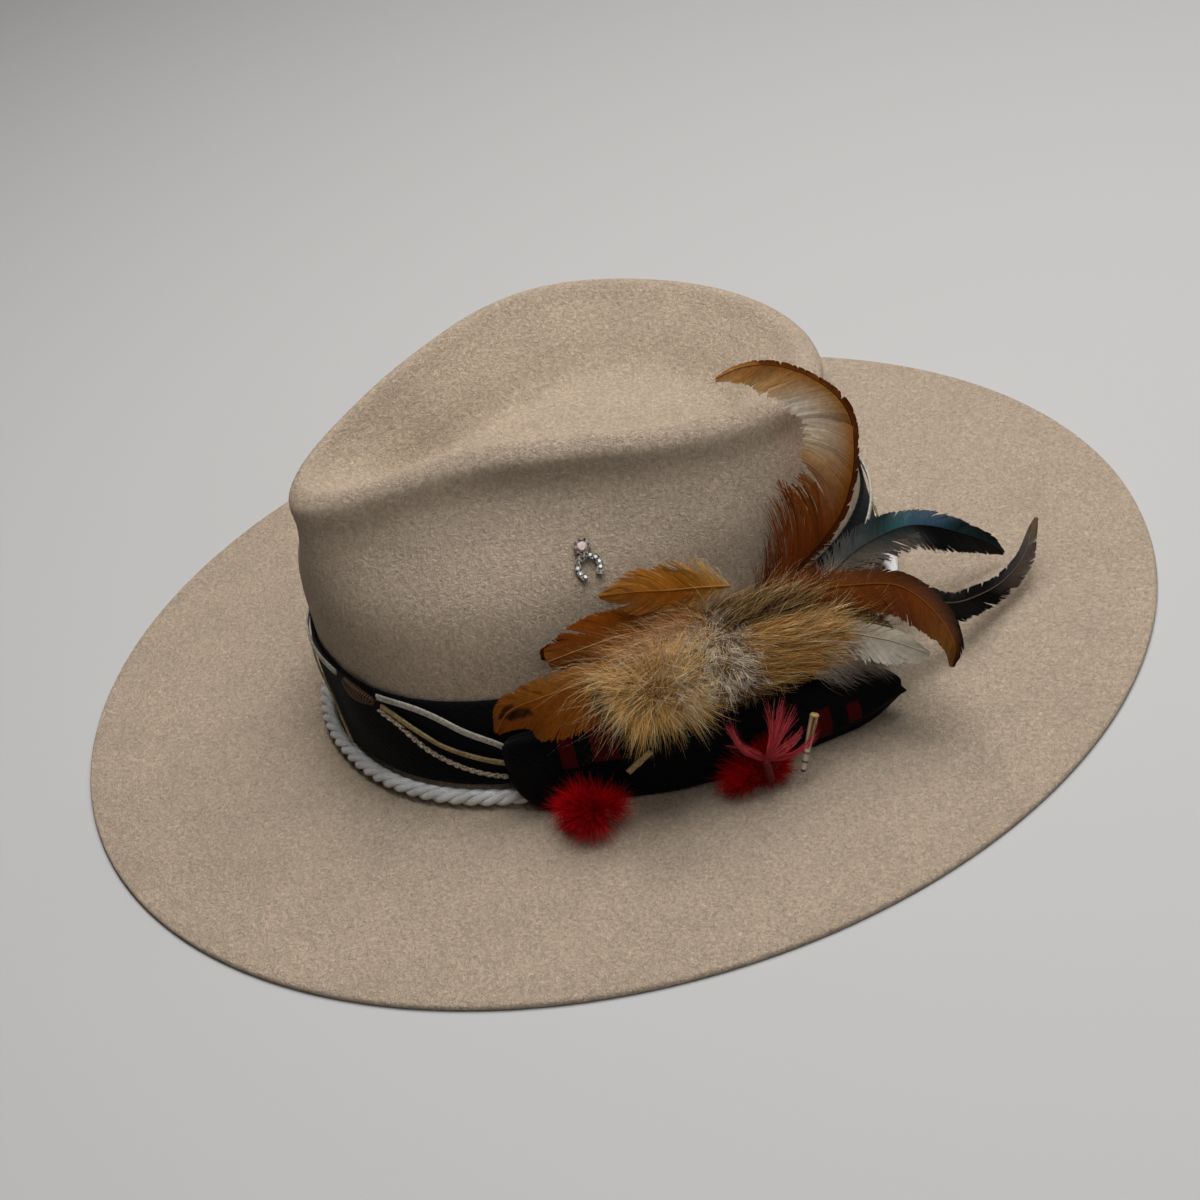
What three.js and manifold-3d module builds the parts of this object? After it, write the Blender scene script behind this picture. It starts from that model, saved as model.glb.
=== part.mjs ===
// A felt rancher hat with a pinched crown, a cloth band and a feather and fur trim, in millimetres.
// +Z is up, -Y is the front of the hat and +X the wearer's left, where the trim is.
// The brim's underside lies on z = 0. Angles round the crown are in degrees from the front towards +X.
import * as THREE from "three";
import Module from "manifold-3d";
import { mergeVertices } from "three/addons/utils/BufferGeometryUtils.js";

const wasm = await Module();
wasm.setup();

// Driving sizes
const FELT = 2.3;
const GAP = 0.3;
const BRIM = { x: 195, y: 196, edgeRound: 0.6 };
const HEAD = { x: 85, y: 102, power: 2.2 };
const SECTIONS = 50;

// The corner from brim to crown and the lower wall, as steps out from the head line
const CORNER = [
  { out: 6, z: FELT },
  { out: 2.2, z: FELT + 0.55 },
  { out: 0.6, z: FELT + 2.2 },
  { out: 0, z: FELT + 6 },
  { out: -0.6, z: 24 },
  { out: -1.2, z: 40 },
];
const WAIST_Z = 72;
const SHOULDER_DROP = 15;
const RIDGE_OUTSIDE = { share: 0.3, out: 4.2, drop: 4.2 };
const RIDGE_INSIDE = { share: 0.22, out: -1, drop: 0.5 };
const DENT_SIDE = { radius: 0.4, height: 0.42 };
const DENT_CENTRE = { z: 86.5, radius: 0.55, height: 0.6 };

// The crown's radii and heights at each angle from the front to the back; the other side mirrors them
const CROWN = [
  { angle: 0, waist: 100, shoulder: 97.5, ridge: 91, ridgeZ: 108, floor: 62, floorZ: 93 },
  { angle: 20, waist: 96.5, shoulder: 79, ridge: 70, ridgeZ: 112.5, floor: 47, floorZ: 89 },
  { angle: 40, waist: 88.5, shoulder: 62, ridge: 54, ridgeZ: 115.5, floor: 34, floorZ: 87 },
  { angle: 60, waist: 81, shoulder: 57, ridge: 51, ridgeZ: 114.5, floor: 30, floorZ: 86 },
  { angle: 80, waist: 78.5, shoulder: 60, ridge: 54, ridgeZ: 113, floor: 29.5, floorZ: 86 },
  { angle: 100, waist: 81, shoulder: 71, ridge: 64, ridgeZ: 110, floor: 32.5, floorZ: 85 },
  { angle: 120, waist: 87, shoulder: 83, ridge: 76, ridgeZ: 105.5, floor: 41, floorZ: 84 },
  { angle: 140, waist: 93, shoulder: 91, ridge: 86, ridgeZ: 99, floor: 50.5, floorZ: 82 },
  { angle: 160, waist: 98, shoulder: 93.5, ridge: 88, ridgeZ: 96.5, floor: 56, floorZ: 80 },
  { angle: 180, waist: 99, shoulder: 94, ridge: 88, ridgeZ: 96, floor: 58, floorZ: 79.5 },
];
// Rings between one control point of the crown's section and the next
const RINGS = [1, 1, 1, 1, 1, 2, 2, 2, 1, 1, 2, 2, 1, 1];

const BAND = { low: 9.6, high: 43, thick: 1.2, pleat: 0.5, pleatAt: 0.6 };
const ROPE = { out: 3.6, z: 5.9, radius: 2.8, sides: 8, steps: 50 };

// The laces over the band: where each runs, by angle and height, and the most angle in one straight step
const LACE_STEP = 9;
const WHITE_LACE = {
  width: 2.4,
  thick: 0.9,
  route: [
    { angle: 18, z: 42 }, { angle: 23, z: 41.8 }, { angle: 27, z: 40.8 }, { angle: 31, z: 38.4 },
    { angle: 37, z: 32.2 }, { angle: 42, z: 27.5 }, { angle: 46, z: 22.6 }, { angle: 52, z: 20 },
    { angle: 75, z: 18 }, { angle: 100, z: 22 }, { angle: 125, z: 32 }, { angle: 150, z: 36.5 },
    { angle: 185, z: 38 }, { angle: 230, z: 37 }, { angle: 275, z: 36 }, { angle: 320, z: 37.5 },
    { angle: 348, z: 41 }, { angle: 364.5, z: 42.6 },
  ],
};
const CREAM_LACE = {
  width: 2,
  thick: 0.9,
  route: [
    { angle: 18.6, z: 38.7 }, { angle: 22, z: 36 }, { angle: 27, z: 30.8 }, { angle: 31, z: 26.4 },
    { angle: 37, z: 22.3 }, { angle: 42, z: 19.6 }, { angle: 49, z: 16.6 },
  ],
};
const TWISTED_LACE = {
  width: 1.7,
  thick: 1.4,
  route: [
    { angle: 17.8, z: 36.8 }, { angle: 22, z: 32.9 }, { angle: 25, z: 28.2 }, { angle: 28, z: 23.8 },
    { angle: 33, z: 19 }, { angle: 38, z: 15.6 }, { angle: 42, z: 14 }, { angle: 49, z: 13 },
  ],
};
const SIDE_LACE = {
  width: 1.3,
  thick: 0.8,
  route: [
    { angle: 2.2, z: 10.4 }, { angle: 0.2, z: 16 }, { angle: -2.6, z: 25 }, { angle: -8, z: 30.5 },
    { angle: -20, z: 32.5 }, { angle: -50, z: 31 }, { angle: -90, z: 29 }, { angle: -135, z: 27 },
    { angle: -180, z: 24 }, { angle: -225, z: 19 }, { angle: -252, z: 14 },
  ],
};
const WRAP = { from: 8.5, to: 16.8, zFrom: 42.4, zTo: 39.6, radius: 2.1, low: 0.5 };

// The cloth bow: how far it stands off the head line, inside and outside, and its height at each angle
const BOW = [
  { angle: 44.5, inside: 4.2, outside: 7.6, low: 14, high: 29 },
  { angle: 46.5, inside: 4.2, outside: 9.2, low: 8, high: 31.5 },
  { angle: 50, inside: 4.2, outside: 10.4, low: 3.2, high: 33 },
  { angle: 57, inside: 4.2, outside: 12, low: 2.8, high: 34 },
  { angle: 66, inside: 4.2, outside: 15, low: 2.8, high: 33.5 },
  { angle: 75, inside: 4.2, outside: 20.5, low: 2.8, high: 33 },
  { angle: 84, inside: 4.2, outside: 24, low: 2.8, high: 32 },
  { angle: 93, inside: 5, outside: 28, low: 2.8, high: 31 },
  { angle: 101, inside: 9, outside: 32, low: 2.8, high: 30 },
  { angle: 108, inside: 18, outside: 36.5, low: 3.4, high: 26.5 },
  { angle: 113.5, inside: 29, outside: 40.5, low: 6.5, high: 18 },
];

// Feathers: points of the shaft, and the vane's reach on the side of shaft x face and on the other side
const VANE_THICK = 1.2;
const CAMBER = 0.1;
const FEATHERS = {
  sickle_feather: {
    face: [1, 0, 0.15],
    colour: "#a0581c",
    rows: [
      { x: 97, y: 14, z: 55, one: 2, other: 5 },
      { x: 93, y: 27, z: 53.5, one: 3, other: 12 },
      { x: 88, y: 39, z: 54, one: 3, other: 18 },
      { x: 86, y: 50, z: 57.5, one: 3, other: 21 },
      { x: 85, y: 59, z: 63, one: 2, other: 22 },
      { x: 85, y: 65, z: 73, one: 2, other: 21 },
      { x: 85, y: 68, z: 83, one: 2, other: 20 },
      { x: 85, y: 69, z: 94, one: 2, other: 18 },
      { x: 85, y: 66, z: 104, one: 2, other: 15 },
      { x: 85, y: 60, z: 113, one: 1.5, other: 13 },
      { x: 85, y: 52, z: 121, one: 1.5, other: 11 },
      { x: 85, y: 43, z: 127, one: 1.5, other: 9 },
      { x: 85, y: 33, z: 130, one: 1, other: 5 },
      { x: 85, y: 24, z: 130, one: 0.4, other: 0.8 },
    ],
  },
  left_upper_feather: {
    face: [0.85, -0.2, 0.45],
    colour: "#a8651f",
    rows: [
      { x: 99, y: 8, z: 66, one: 3, other: 3 },
      { x: 98, y: -2, z: 70, one: 7, other: 5 },
      { x: 96, y: -12, z: 73, one: 8, other: 7 },
      { x: 93, y: -22, z: 76, one: 7, other: 8 },
      { x: 89, y: -33, z: 78, one: 0.6, other: 0.8 },
    ],
  },
  left_middle_feather: {
    face: [0.85, -0.25, 0.4],
    colour: "#955017",
    rows: [
      { x: 99, y: 0, z: 58, one: 3, other: 4 },
      { x: 97, y: -14, z: 60.5, one: 7, other: 8 },
      { x: 92, y: -28, z: 62, one: 9, other: 9 },
      { x: 87, y: -41, z: 61, one: 9, other: 8 },
      { x: 82, y: -53, z: 59, one: 4, other: 3 },
    ],
  },
  left_under_feather: {
    face: [0.8, -0.45, 0.35],
    colour: "#6e2c10",
    rows: [
      { x: 88, y: -28, z: 54, one: 3, other: 3 },
      { x: 84, y: -38, z: 56, one: 6, other: 5 },
      { x: 80, y: -47, z: 58, one: 6, other: 5 },
      { x: 77, y: -53, z: 59, one: 2, other: 1.5 },
    ],
  },
  left_lower_feather: {
    face: [0.85, -0.4, 0.3],
    colour: "#9a571b",
    rows: [
      { x: 101, y: -22, z: 51, one: 3, other: 4 },
      { x: 96, y: -36, z: 52, one: 5, other: 12 },
      { x: 91, y: -49, z: 52, one: 6, other: 16 },
      { x: 86, y: -61, z: 50.5, one: 6, other: 16 },
      { x: 81, y: -70, z: 47.5, one: 5, other: 12 },
      { x: 78, y: -75.5, z: 40, one: 0.8, other: 1.2 },
    ],
  },
  right_brown_feather: {
    face: [0.7, -0.2, 0.68],
    colour: "#8a4a1a",
    rows: [
      { x: 108, y: 27, z: 58, one: 4, other: 4 },
      { x: 114, y: 42, z: 56, one: 8, other: 5 },
      { x: 121, y: 56, z: 52, one: 10, other: 5 },
      { x: 135, y: 60, z: 46, one: 8, other: 5 },
      { x: 146, y: 58.5, z: 39.5, one: 4, other: 3 },
      { x: 147.5, y: 55, z: 33.5, one: 0.6, other: 0.8 },
    ],
  },
  right_white_feather: {
    face: [0.7, -0.2, 0.68],
    colour: "#cfc5b8",
    rows: [
      { x: 112, y: 28, z: 45, one: 4, other: 3 },
      { x: 121, y: 37, z: 43, one: 7, other: 4 },
      { x: 131, y: 46, z: 40, one: 8, other: 4 },
      { x: 139, y: 53, z: 35.5, one: 0.8, other: 0.8 },
    ],
  },
  green_feather: {
    face: [0.65, -0.2, 0.73],
    colour: "#25332f",
    rows: [
      { x: 99, y: 38, z: 49, one: 3, other: 3 },
      { x: 91, y: 56, z: 50, one: 7, other: 6 },
      { x: 80.5, y: 77.5, z: 44, one: 9, other: 7 },
      { x: 72, y: 95, z: 34, one: 9, other: 6 },
      { x: 72.5, y: 108.5, z: 24.5, one: 7, other: 5 },
      { x: 72.5, y: 120, z: 14, one: 4, other: 3 },
      { x: 72.5, y: 125, z: 7, one: 0.6, other: 0.8 },
    ],
  },
  black_feather: {
    face: [0.65, -0.2, 0.73],
    colour: "#17191a",
    rows: [
      { x: 105, y: 44, z: 43, one: 3, other: 3 },
      { x: 104.5, y: 58.5, z: 41, one: 6, other: 4 },
      { x: 105, y: 70.5, z: 33, one: 7, other: 5 },
      { x: 104, y: 82, z: 23.5, one: 7, other: 4 },
      { x: 97.5, y: 97, z: 15.5, one: 6, other: 4 },
      { x: 92, y: 111.5, z: 12, one: 5, other: 3 },
      { x: 86, y: 124.5, z: 13, one: 4, other: 2.5 },
      { x: 80.5, y: 132.5, z: 17, one: 2, other: 1.5 },
      { x: 79, y: 136.5, z: 20.5, one: 0.5, other: 0.6 },
    ],
  },
};

// The fur: an oval section at each station along the crown's side, and locks standing out of it
const FUR = [
  { y: -46, x: 98, z: 48, depth: 4, height: 7 },
  { y: -38, x: 101, z: 46, depth: 10, height: 12 },
  { y: -24, x: 104, z: 46, depth: 14, height: 16 },
  { y: -6, x: 106, z: 46, depth: 15, height: 17 },
  { y: 12, x: 107, z: 44, depth: 15, height: 16 },
  { y: 28, x: 109, z: 40, depth: 13, height: 14 },
  { y: 42, x: 112, z: 36, depth: 10, height: 10 },
  { y: 53, x: 115, z: 32, depth: 4, height: 5 },
];
const FUR_SIDES = 10;
const FUR_LOCKS = { stations: 8, from: -42, to: 50, around: [-75, -35, 5, 45, 85], length: 17, radius: 4.6 };

// Red fluff: soft balls with locks all round
const PUFFS = {
  red_puff_left: { at: [98, -58.5, 9.5], turn: -44, size: [9, 15, 6], locks: 20, length: 9, radius: 3 },
  red_puff_right: { at: [120, -5, 9.5], turn: 0, size: [6.5, 15, 6.5], locks: 18, length: 7, radius: 2.8 },
};
// The red hackle's strands fan from one knot; each row is a tip and how far the strand bows towards the front
const HACKLE = {
  root: [128, -5, 12],
  width: 1.5,
  thick: 0.8,
  tips: [
    { x: 126, y: -20, z: 27, bow: 5 },
    { x: 128, y: -13, z: 33, bow: -3 },
    { x: 129, y: -6, z: 36, bow: 3 },
    { x: 129, y: 0, z: 34, bow: -3 },
    { x: 129, y: 6, z: 28, bow: 4 },
    { x: 130, y: 9, z: 21, bow: 3 },
  ],
};
const QUILL = { from: [127.5, 7, 8.5], to: [127, 14.5, 26], thick: 0.9, thin: 1.3, sides: 8 };
const LACE_END = { from: [107, -35.8, 27], to: [105, -44.5, 22], width: 2.2, thick: 0.9, face: [0.9, -0.35, 0.1] };

// The pin: its stone's seat on the crown, the way the horseshoe hangs, and its sizes
const PIN = {
  seat: [66.3, -26, 82.6],
  legs: [71.9, -28.2, 74.7],
  lift: 0.9,
  plate: 1.1,
  arc: 4.75,
  arm: 2.1,
  drop: 6.65,
  aside: 0.75,
  lean: 0.1,
  legLength: 1.9,
  legTurn: 0.5,
  cup: { radius: 2.3, height: 1.5 },
  claws: { count: 9, radius: 0.5 },
  stone: { girdle: 1.8, table: 1.15, below: 0.7, above: 0.8, facets: 12 },
  crystal: { girdle: 0.75, table: 0.48, height: 0.8, facets: 6, places: [-22, 7, 36, 65, 173, 203, 233] },
  post: { radius: 0.5, hole: 0.8, clutch: 2.6, clutchDepth: 1.6, sides: 10 },
};

const radians = THREE.MathUtils.degToRad;
const vector = (list) => new THREE.Vector3(...list);

// Plain mesh helpers

// Turns a closed mesh's faces outwards.
function outward(position, index) {
  let volume = 0;
  const at = (i) => new THREE.Vector3().fromArray(position, 3 * i);
  for (let i = 0; i < index.length; i += 3)
    volume += at(index[i]).dot(at(index[i + 1]).cross(at(index[i + 2])));
  if (volume < 0) index.reverse();
  return new THREE.BufferGeometry()
    .setAttribute("position", new THREE.Float32BufferAttribute(position, 3))
    .setIndex(index);
}

// A closed solid through rings of points. A loop of rings meets itself; an open run gets ends that fan from a point.
function loft(rings, { loop = false, ends = null } = {}) {
  const count = rings[0].length;
  const points = rings.flat();
  const index = [];
  for (let i = 0; i < (loop ? rings.length : rings.length - 1); i++) {
    const a = i * count;
    const b = ((i + 1) % rings.length) * count;
    for (let j = 0; j < count; j++) {
      const k = (j + 1) % count;
      index.push(a + j, b + j, b + k, a + j, b + k, a + k);
    }
  }
  if (!loop) {
    const middles = ends ?? [rings[0], rings.at(-1)].map((ring) => middle(ring));
    points.push(...middles);
    const last = (rings.length - 1) * count;
    for (let j = 0; j < count; j++) {
      const k = (j + 1) % count;
      index.push(j, k, points.length - 2, last + k, last + j, points.length - 1);
    }
  }
  return outward(points.flatMap((p) => p.toArray()), index);
}

function middle(points) {
  return points.reduce((sum, p) => sum.add(p), new THREE.Vector3()).divideScalar(points.length);
}

// A geometry as a manifold solid, and back
function solid(geometry) {
  const bare = geometry.clone();
  for (const name of ["normal", "uv"]) bare.deleteAttribute(name);
  const merged = mergeVertices(bare, 1e-4);
  return new wasm.Manifold(
    new wasm.Mesh({
      numProp: 3,
      vertProperties: new Float32Array(merged.attributes.position.array),
      triVerts: new Uint32Array(merged.index.array),
    }),
  );
}

function geometryOf(manifold) {
  const mesh = manifold.getMesh();
  return new THREE.BufferGeometry()
    .setAttribute("position", new THREE.BufferAttribute(new Float32Array(mesh.vertProperties), 3))
    .setIndex(new THREE.BufferAttribute(new Uint32Array(mesh.triVerts), 1));
}

// The largest piece of a solid, for one that a cut has left crumbs of
function largest(manifold) {
  return manifold.decompose().reduce((a, b) => (b.volume() > a.volume() ? b : a));
}

function union(parts) {
  return parts.reduce((all, part) => all.add(part));
}

function without(body, cutters) {
  return largest(cutters.reduce((left, cutter) => left.subtract(cutter), body));
}

// Repeatable scatter between -1 and 1
function scatter(seed) {
  const s = Math.sin(seed * 127.1 + 11.7) * 43758.5453;
  return 2 * (s - Math.floor(s)) - 1;
}

// The crown

// A column of the crown's table as a smooth closed curve round the head
function column(name) {
  const half = CROWN.map((row) => row[name]);
  const y = [...half, ...half.slice(1, -1).reverse()];
  const next = (i) => (i + 1) % y.length;
  const before = (i) => (i + y.length - 1) % y.length;
  let slope = y.map(() => 0);
  for (let pass = 0; pass < 40; pass++)
    slope = y.map((_, i) => (3 * (y[next(i)] - y[before(i)]) - slope[before(i)] - slope[next(i)]) / 4);
  return (angle) => {
    const place = ((((angle / 360) % 1) + 1) % 1) * y.length;
    const i = Math.floor(place) % y.length;
    const u = place - Math.floor(place);
    const v = 1 - u;
    return (
      v * v * (1 + 2 * u) * y[i] +
      u * u * (1 + 2 * v) * y[next(i)] +
      u * v * v * slope[i] -
      u * u * v * slope[next(i)]
    );
  };
}
const crown = Object.fromEntries(Object.keys(CROWN[0]).map((name) => [name, column(name)]));

function headLine(angle) {
  const s = Math.abs(Math.sin(radians(angle)) / HEAD.x) ** HEAD.power;
  const c = Math.abs(Math.cos(radians(angle)) / HEAD.y) ** HEAD.power;
  return (s + c) ** (-1 / HEAD.power);
}

function polar(angle, radius, z) {
  return new THREE.Vector3(radius * Math.sin(radians(angle)), -radius * Math.cos(radians(angle)), z);
}

// The crown's section at an angle: radius in x and height in y, from the brim's corner to the dent's centre
function section(angle) {
  const head = headLine(angle);
  const ridge = crown.ridge(angle);
  const ridgeZ = crown.ridgeZ(angle);
  const shoulder = crown.shoulder(angle);
  const floor = crown.floor(angle);
  const floorZ = crown.floorZ(angle);
  const points = CORNER.map((row) => [head + row.out, row.z]);
  points.push(
    [crown.waist(angle), WAIST_Z],
    [shoulder, ridgeZ - SHOULDER_DROP],
    [ridge + RIDGE_OUTSIDE.share * (shoulder - ridge) + RIDGE_OUTSIDE.out, ridgeZ - RIDGE_OUTSIDE.drop],
    [ridge, ridgeZ],
    [
      ridge - RIDGE_INSIDE.share * (ridge - floor) + RIDGE_INSIDE.out,
      ridgeZ - RIDGE_INSIDE.share * (ridgeZ - floorZ) - RIDGE_INSIDE.drop,
    ],
    [floor + DENT_SIDE.radius * (ridge - floor), floorZ + DENT_SIDE.height * (ridgeZ - floorZ)],
    [floor, floorZ],
    [floor * DENT_CENTRE.radius, THREE.MathUtils.lerp(DENT_CENTRE.z, floorZ, DENT_CENTRE.height)],
    [0, DENT_CENTRE.z],
  );
  return new THREE.CatmullRomCurve3(points.map(([r, z]) => new THREE.Vector3(r, z, 0)), false, "centripetal");
}

// The wall's radius at a height between the corner and the waist
function wallRadius(angle, z) {
  const curve = section(angle);
  let low = (CORNER.length - 3) / RINGS.length;
  let high = CORNER.length / RINGS.length;
  for (let i = 0; i < 24; i++) {
    const t = (low + high) / 2;
    if (curve.getPoint(t).y < z) low = t;
    else high = t;
  }
  return curve.getPoint(low).x;
}

function feltBody() {
  const outer = [];
  const angles = Array.from({ length: SECTIONS }, (_, j) => (j * 360) / SECTIONS);
  const brimEdge = (angle, inset) =>
    1 / Math.hypot(Math.sin(radians(angle)) / (BRIM.x - inset), Math.cos(radians(angle)) / (BRIM.y - inset));
  const start = CORNER[0];
  outer.push(angles.map((a) => polar(a, brimEdge(a, BRIM.edgeRound), FELT)));
  outer.push(angles.map((a) => polar(a, (brimEdge(a, 0) + headLine(a) + start.out) / 2, FELT)));
  const curves = angles.map(section);
  RINGS.forEach((splits, span) => {
    for (let s = 0; s < splits; s++) {
      const t = (span + s / splits) / RINGS.length;
      outer.push(curves.map((curve, j) => {
        const p = curve.getPoint(t);
        return polar(angles[j], p.x, p.y);
      }));
    }
  });
  const edge = angles.map((a) => polar(a, brimEdge(a, 0), FELT / 2));
  const inner = outer.map((ring, i) => ring.map((p, j) => {
    if (i < 3) return new THREE.Vector3(p.x, p.y, 0);
    const across = new THREE.Vector3().subVectors(ring[(j + 1) % SECTIONS], ring[(j + SECTIONS - 1) % SECTIONS]);
    const next = outer[i + 1]?.[j] ?? new THREE.Vector3(0, 0, DENT_CENTRE.z);
    const up = new THREE.Vector3().subVectors(next, outer[i - 1][j]);
    return p.clone().addScaledVector(across.cross(up).normalize(), -FELT);
  }));
  const ends = [DENT_CENTRE.z, DENT_CENTRE.z - FELT].map((z) => new THREE.Vector3(0, 0, z));
  return loft([...outer.toReversed(), edge, ...inner], { ends });
}

// Round the base of the crown

// A ring of cloth or cord: section points as steps out from the wall and heights
function ringRound(steps, sectionAt) {
  const rings = Array.from({ length: steps }, (_, j) => {
    const angle = (j * 360) / steps;
    return sectionAt(angle).map(([radius, z]) => polar(angle, radius, z));
  });
  return loft(rings, { loop: true });
}

function hatBand() {
  const heights = [BAND.low, BAND.low + BAND.pleatAt * (BAND.high - BAND.low), BAND.high];
  return ringRound(SECTIONS, (angle) => {
    const inside = heights.map((z) => [wallRadius(angle, z) + GAP, z]);
    const outside = heights.map((z, i) => [
      wallRadius(angle, z) + GAP + BAND.thick + (i === 1 ? BAND.pleat * Math.sin(radians(3 * angle)) : 0),
      z,
    ]);
    return [...inside, ...outside.reverse()];
  });
}

function ropeTrim() {
  return ringRound(ROPE.steps, (angle) => Array.from({ length: ROPE.sides }, (_, k) => {
    const turn = ((k + 0.5) * 2 * Math.PI) / ROPE.sides;
    return [headLine(angle) + ROPE.out + ROPE.radius * Math.cos(turn), ROPE.z + ROPE.radius * Math.sin(turn)];
  }));
}

// A lace lying on the band, flat against it
function lace({ route, width, thick }) {
  const path = new THREE.CatmullRomCurve3(route.map((p) => new THREE.Vector3(p.angle, p.z, 0)), false, "centripetal");
  const spans = route.length - 1;
  const places = route.slice(1).flatMap((row, i) => {
    const pieces = Math.max(2, Math.ceil(Math.abs(row.angle - route[i].angle) / LACE_STEP));
    return Array.from({ length: pieces }, (_, k) => (i + k / pieces) / spans);
  });
  const away = GAP + BAND.thick + BAND.pleat + GAP;
  const centre = [...places, 1].map((t) => {
    const p = path.getPoint(t);
    return { angle: p.x, at: polar(p.x, wallRadius(p.x, p.y) + away + thick / 2, p.y) };
  });
  const steps = centre.length - 1;
  return loft(centre.map(({ angle, at }, i) => {
    const along = new THREE.Vector3()
      .subVectors(centre[Math.min(i + 1, steps)].at, centre[Math.max(i - 1, 0)].at)
      .normalize();
    const out = polar(angle, 1, 0);
    const side = new THREE.Vector3().crossVectors(along, out).normalize().multiplyScalar(width / 2);
    out.multiplyScalar(thick / 2);
    return [[1, 1], [-1, 1], [-1, -1], [1, -1]].map(([s, o]) =>
      at.clone().addScaledVector(side, s).addScaledVector(out, o));
  }));
}

// The whipping that gathers the laces: a spindle lying on the band
function laceWrap() {
  const steps = 6;
  const away = GAP + BAND.thick + BAND.pleat + GAP;
  const rings = Array.from({ length: steps + 1 }, (_, i) => {
    const t = i / steps;
    const angle = THREE.MathUtils.lerp(WRAP.from, WRAP.to, t);
    const z = THREE.MathUtils.lerp(WRAP.zFrom, WRAP.zTo, t);
    const radius = WRAP.radius * (WRAP.low + (1 - WRAP.low) * Math.sin(Math.PI * t));
    return Array.from({ length: 8 }, (_, k) => {
      const turn = (k * Math.PI) / 4;
      const out = away + radius * (1 + Math.cos(turn)) * 0.75;
      return polar(angle, wallRadius(angle, z) + out, z + radius * Math.sin(turn));
    });
  });
  return loft(rings);
}

// The bow, with a groove along its inner side for the rope. It may be made larger all round by grow.
function clothBow(grow = 0) {
  const groove = { out: ROPE.out + ROPE.radius + GAP, z: ROPE.z + ROPE.radius + GAP };
  return loft(BOW.map(({ angle, inside, outside, low, high }) => {
    const foot = Math.max(inside, Math.min(groove.out, outside - 1.2));
    const step = Math.max(groove.z, low + 1);
    const height = high - low;
    const round = Math.min(3, (outside - foot) / 2);
    return [
      [inside - grow, high - round],
      [inside - grow, step + 1],
      [foot - grow, step],
      [foot - grow, low + 0.5 - grow],
      [outside - round, low - grow],
      [outside + grow, low + round],
      [outside + 1 + grow, low + 0.45 * height],
      [outside + grow, high - round],
      [(inside + outside) / 2, high + grow],
    ].map(([out, z]) => polar(angle, headLine(angle) + out, z));
  }));
}

// Feathers

function vane({ rows, face }, grow = 0) {
  const shaft = new THREE.CatmullRomCurve3(rows.map((r) => new THREE.Vector3(r.x, r.y, r.z)), false, "centripetal");
  const reach = new THREE.CatmullRomCurve3(rows.map((r) => new THREE.Vector3(r.one, r.other, 0)), false, "catmullrom", 0.3);
  const steps = 2 * (rows.length - 1);
  return loft(Array.from({ length: steps + 1 }, (_, i) => {
    const t = i / steps;
    const at = shaft.getPoint(t);
    const along = shaft.getTangent(t);
    const side = new THREE.Vector3().crossVectors(along, vector(face)).normalize();
    const up = new THREE.Vector3().crossVectors(side, along).normalize();
    const { x: one, y: other } = reach.getPoint(t);
    if (i === 0) at.addScaledVector(along, -grow);
    if (i === steps) at.addScaledVector(along, grow);
    const spot = (s, u) => at.clone().addScaledVector(side, s).addScaledVector(up, u);
    return [
      spot(one + grow, -CAMBER * one + grow / 2),
      spot(0, VANE_THICK / 2 + grow),
      spot(-other - grow, -CAMBER * other + grow / 2),
      spot(-other - grow, -CAMBER * other - 0.3 - grow / 2),
      spot(0, -VANE_THICK / 2 - grow),
      spot(one + grow, -CAMBER * one - 0.3 - grow / 2),
    ];
  }));
}

// Fur, fluff and strands

// A lock: a four-sided spike from a root along a direction
function lock(root, direction, length, radius) {
  const spike = new THREE.ConeGeometry(radius, length, 4);
  spike.translate(0, length / 2 - radius, 0);
  spike.applyQuaternion(new THREE.Quaternion().setFromUnitVectors(new THREE.Vector3(0, 1, 0), direction));
  spike.translate(root.x, root.y, root.z);
  return solid(spike);
}

function furCore() {
  return loft(FUR.map((row) => Array.from({ length: FUR_SIDES }, (_, k) => {
    const turn = (k * 2 * Math.PI) / FUR_SIDES;
    return new THREE.Vector3(row.x + row.depth * Math.cos(turn), row.y, row.z + row.height * Math.sin(turn));
  })));
}

function furLocks() {
  const along = new THREE.CatmullRomCurve3(FUR.map((r) => new THREE.Vector3(r.x, r.y, r.z)));
  const size = new THREE.CatmullRomCurve3(FUR.map((r) => new THREE.Vector3(r.depth, r.height, 0)));
  const locks = [];
  for (let i = 0; i < FUR_LOCKS.stations; i++) {
    const t = (i + 0.5) / FUR_LOCKS.stations;
    const centre = along.getPoint(t);
    const oval = size.getPoint(t);
    FUR_LOCKS.around.forEach((degrees, k) => {
      const turn = radians(degrees + 14 * scatter(i * 7 + k));
      const outwards = new THREE.Vector3(Math.cos(turn), 1.3 * (t - 0.5), Math.sin(turn)).normalize();
      const root = centre.clone().add(
        new THREE.Vector3(0.75 * oval.x * Math.cos(turn), 0, 0.75 * oval.y * Math.sin(turn)),
      );
      locks.push(lock(root, outwards, FUR_LOCKS.length + 3 * scatter(i + 5 * k), FUR_LOCKS.radius));
    });
  }
  return locks;
}

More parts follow.
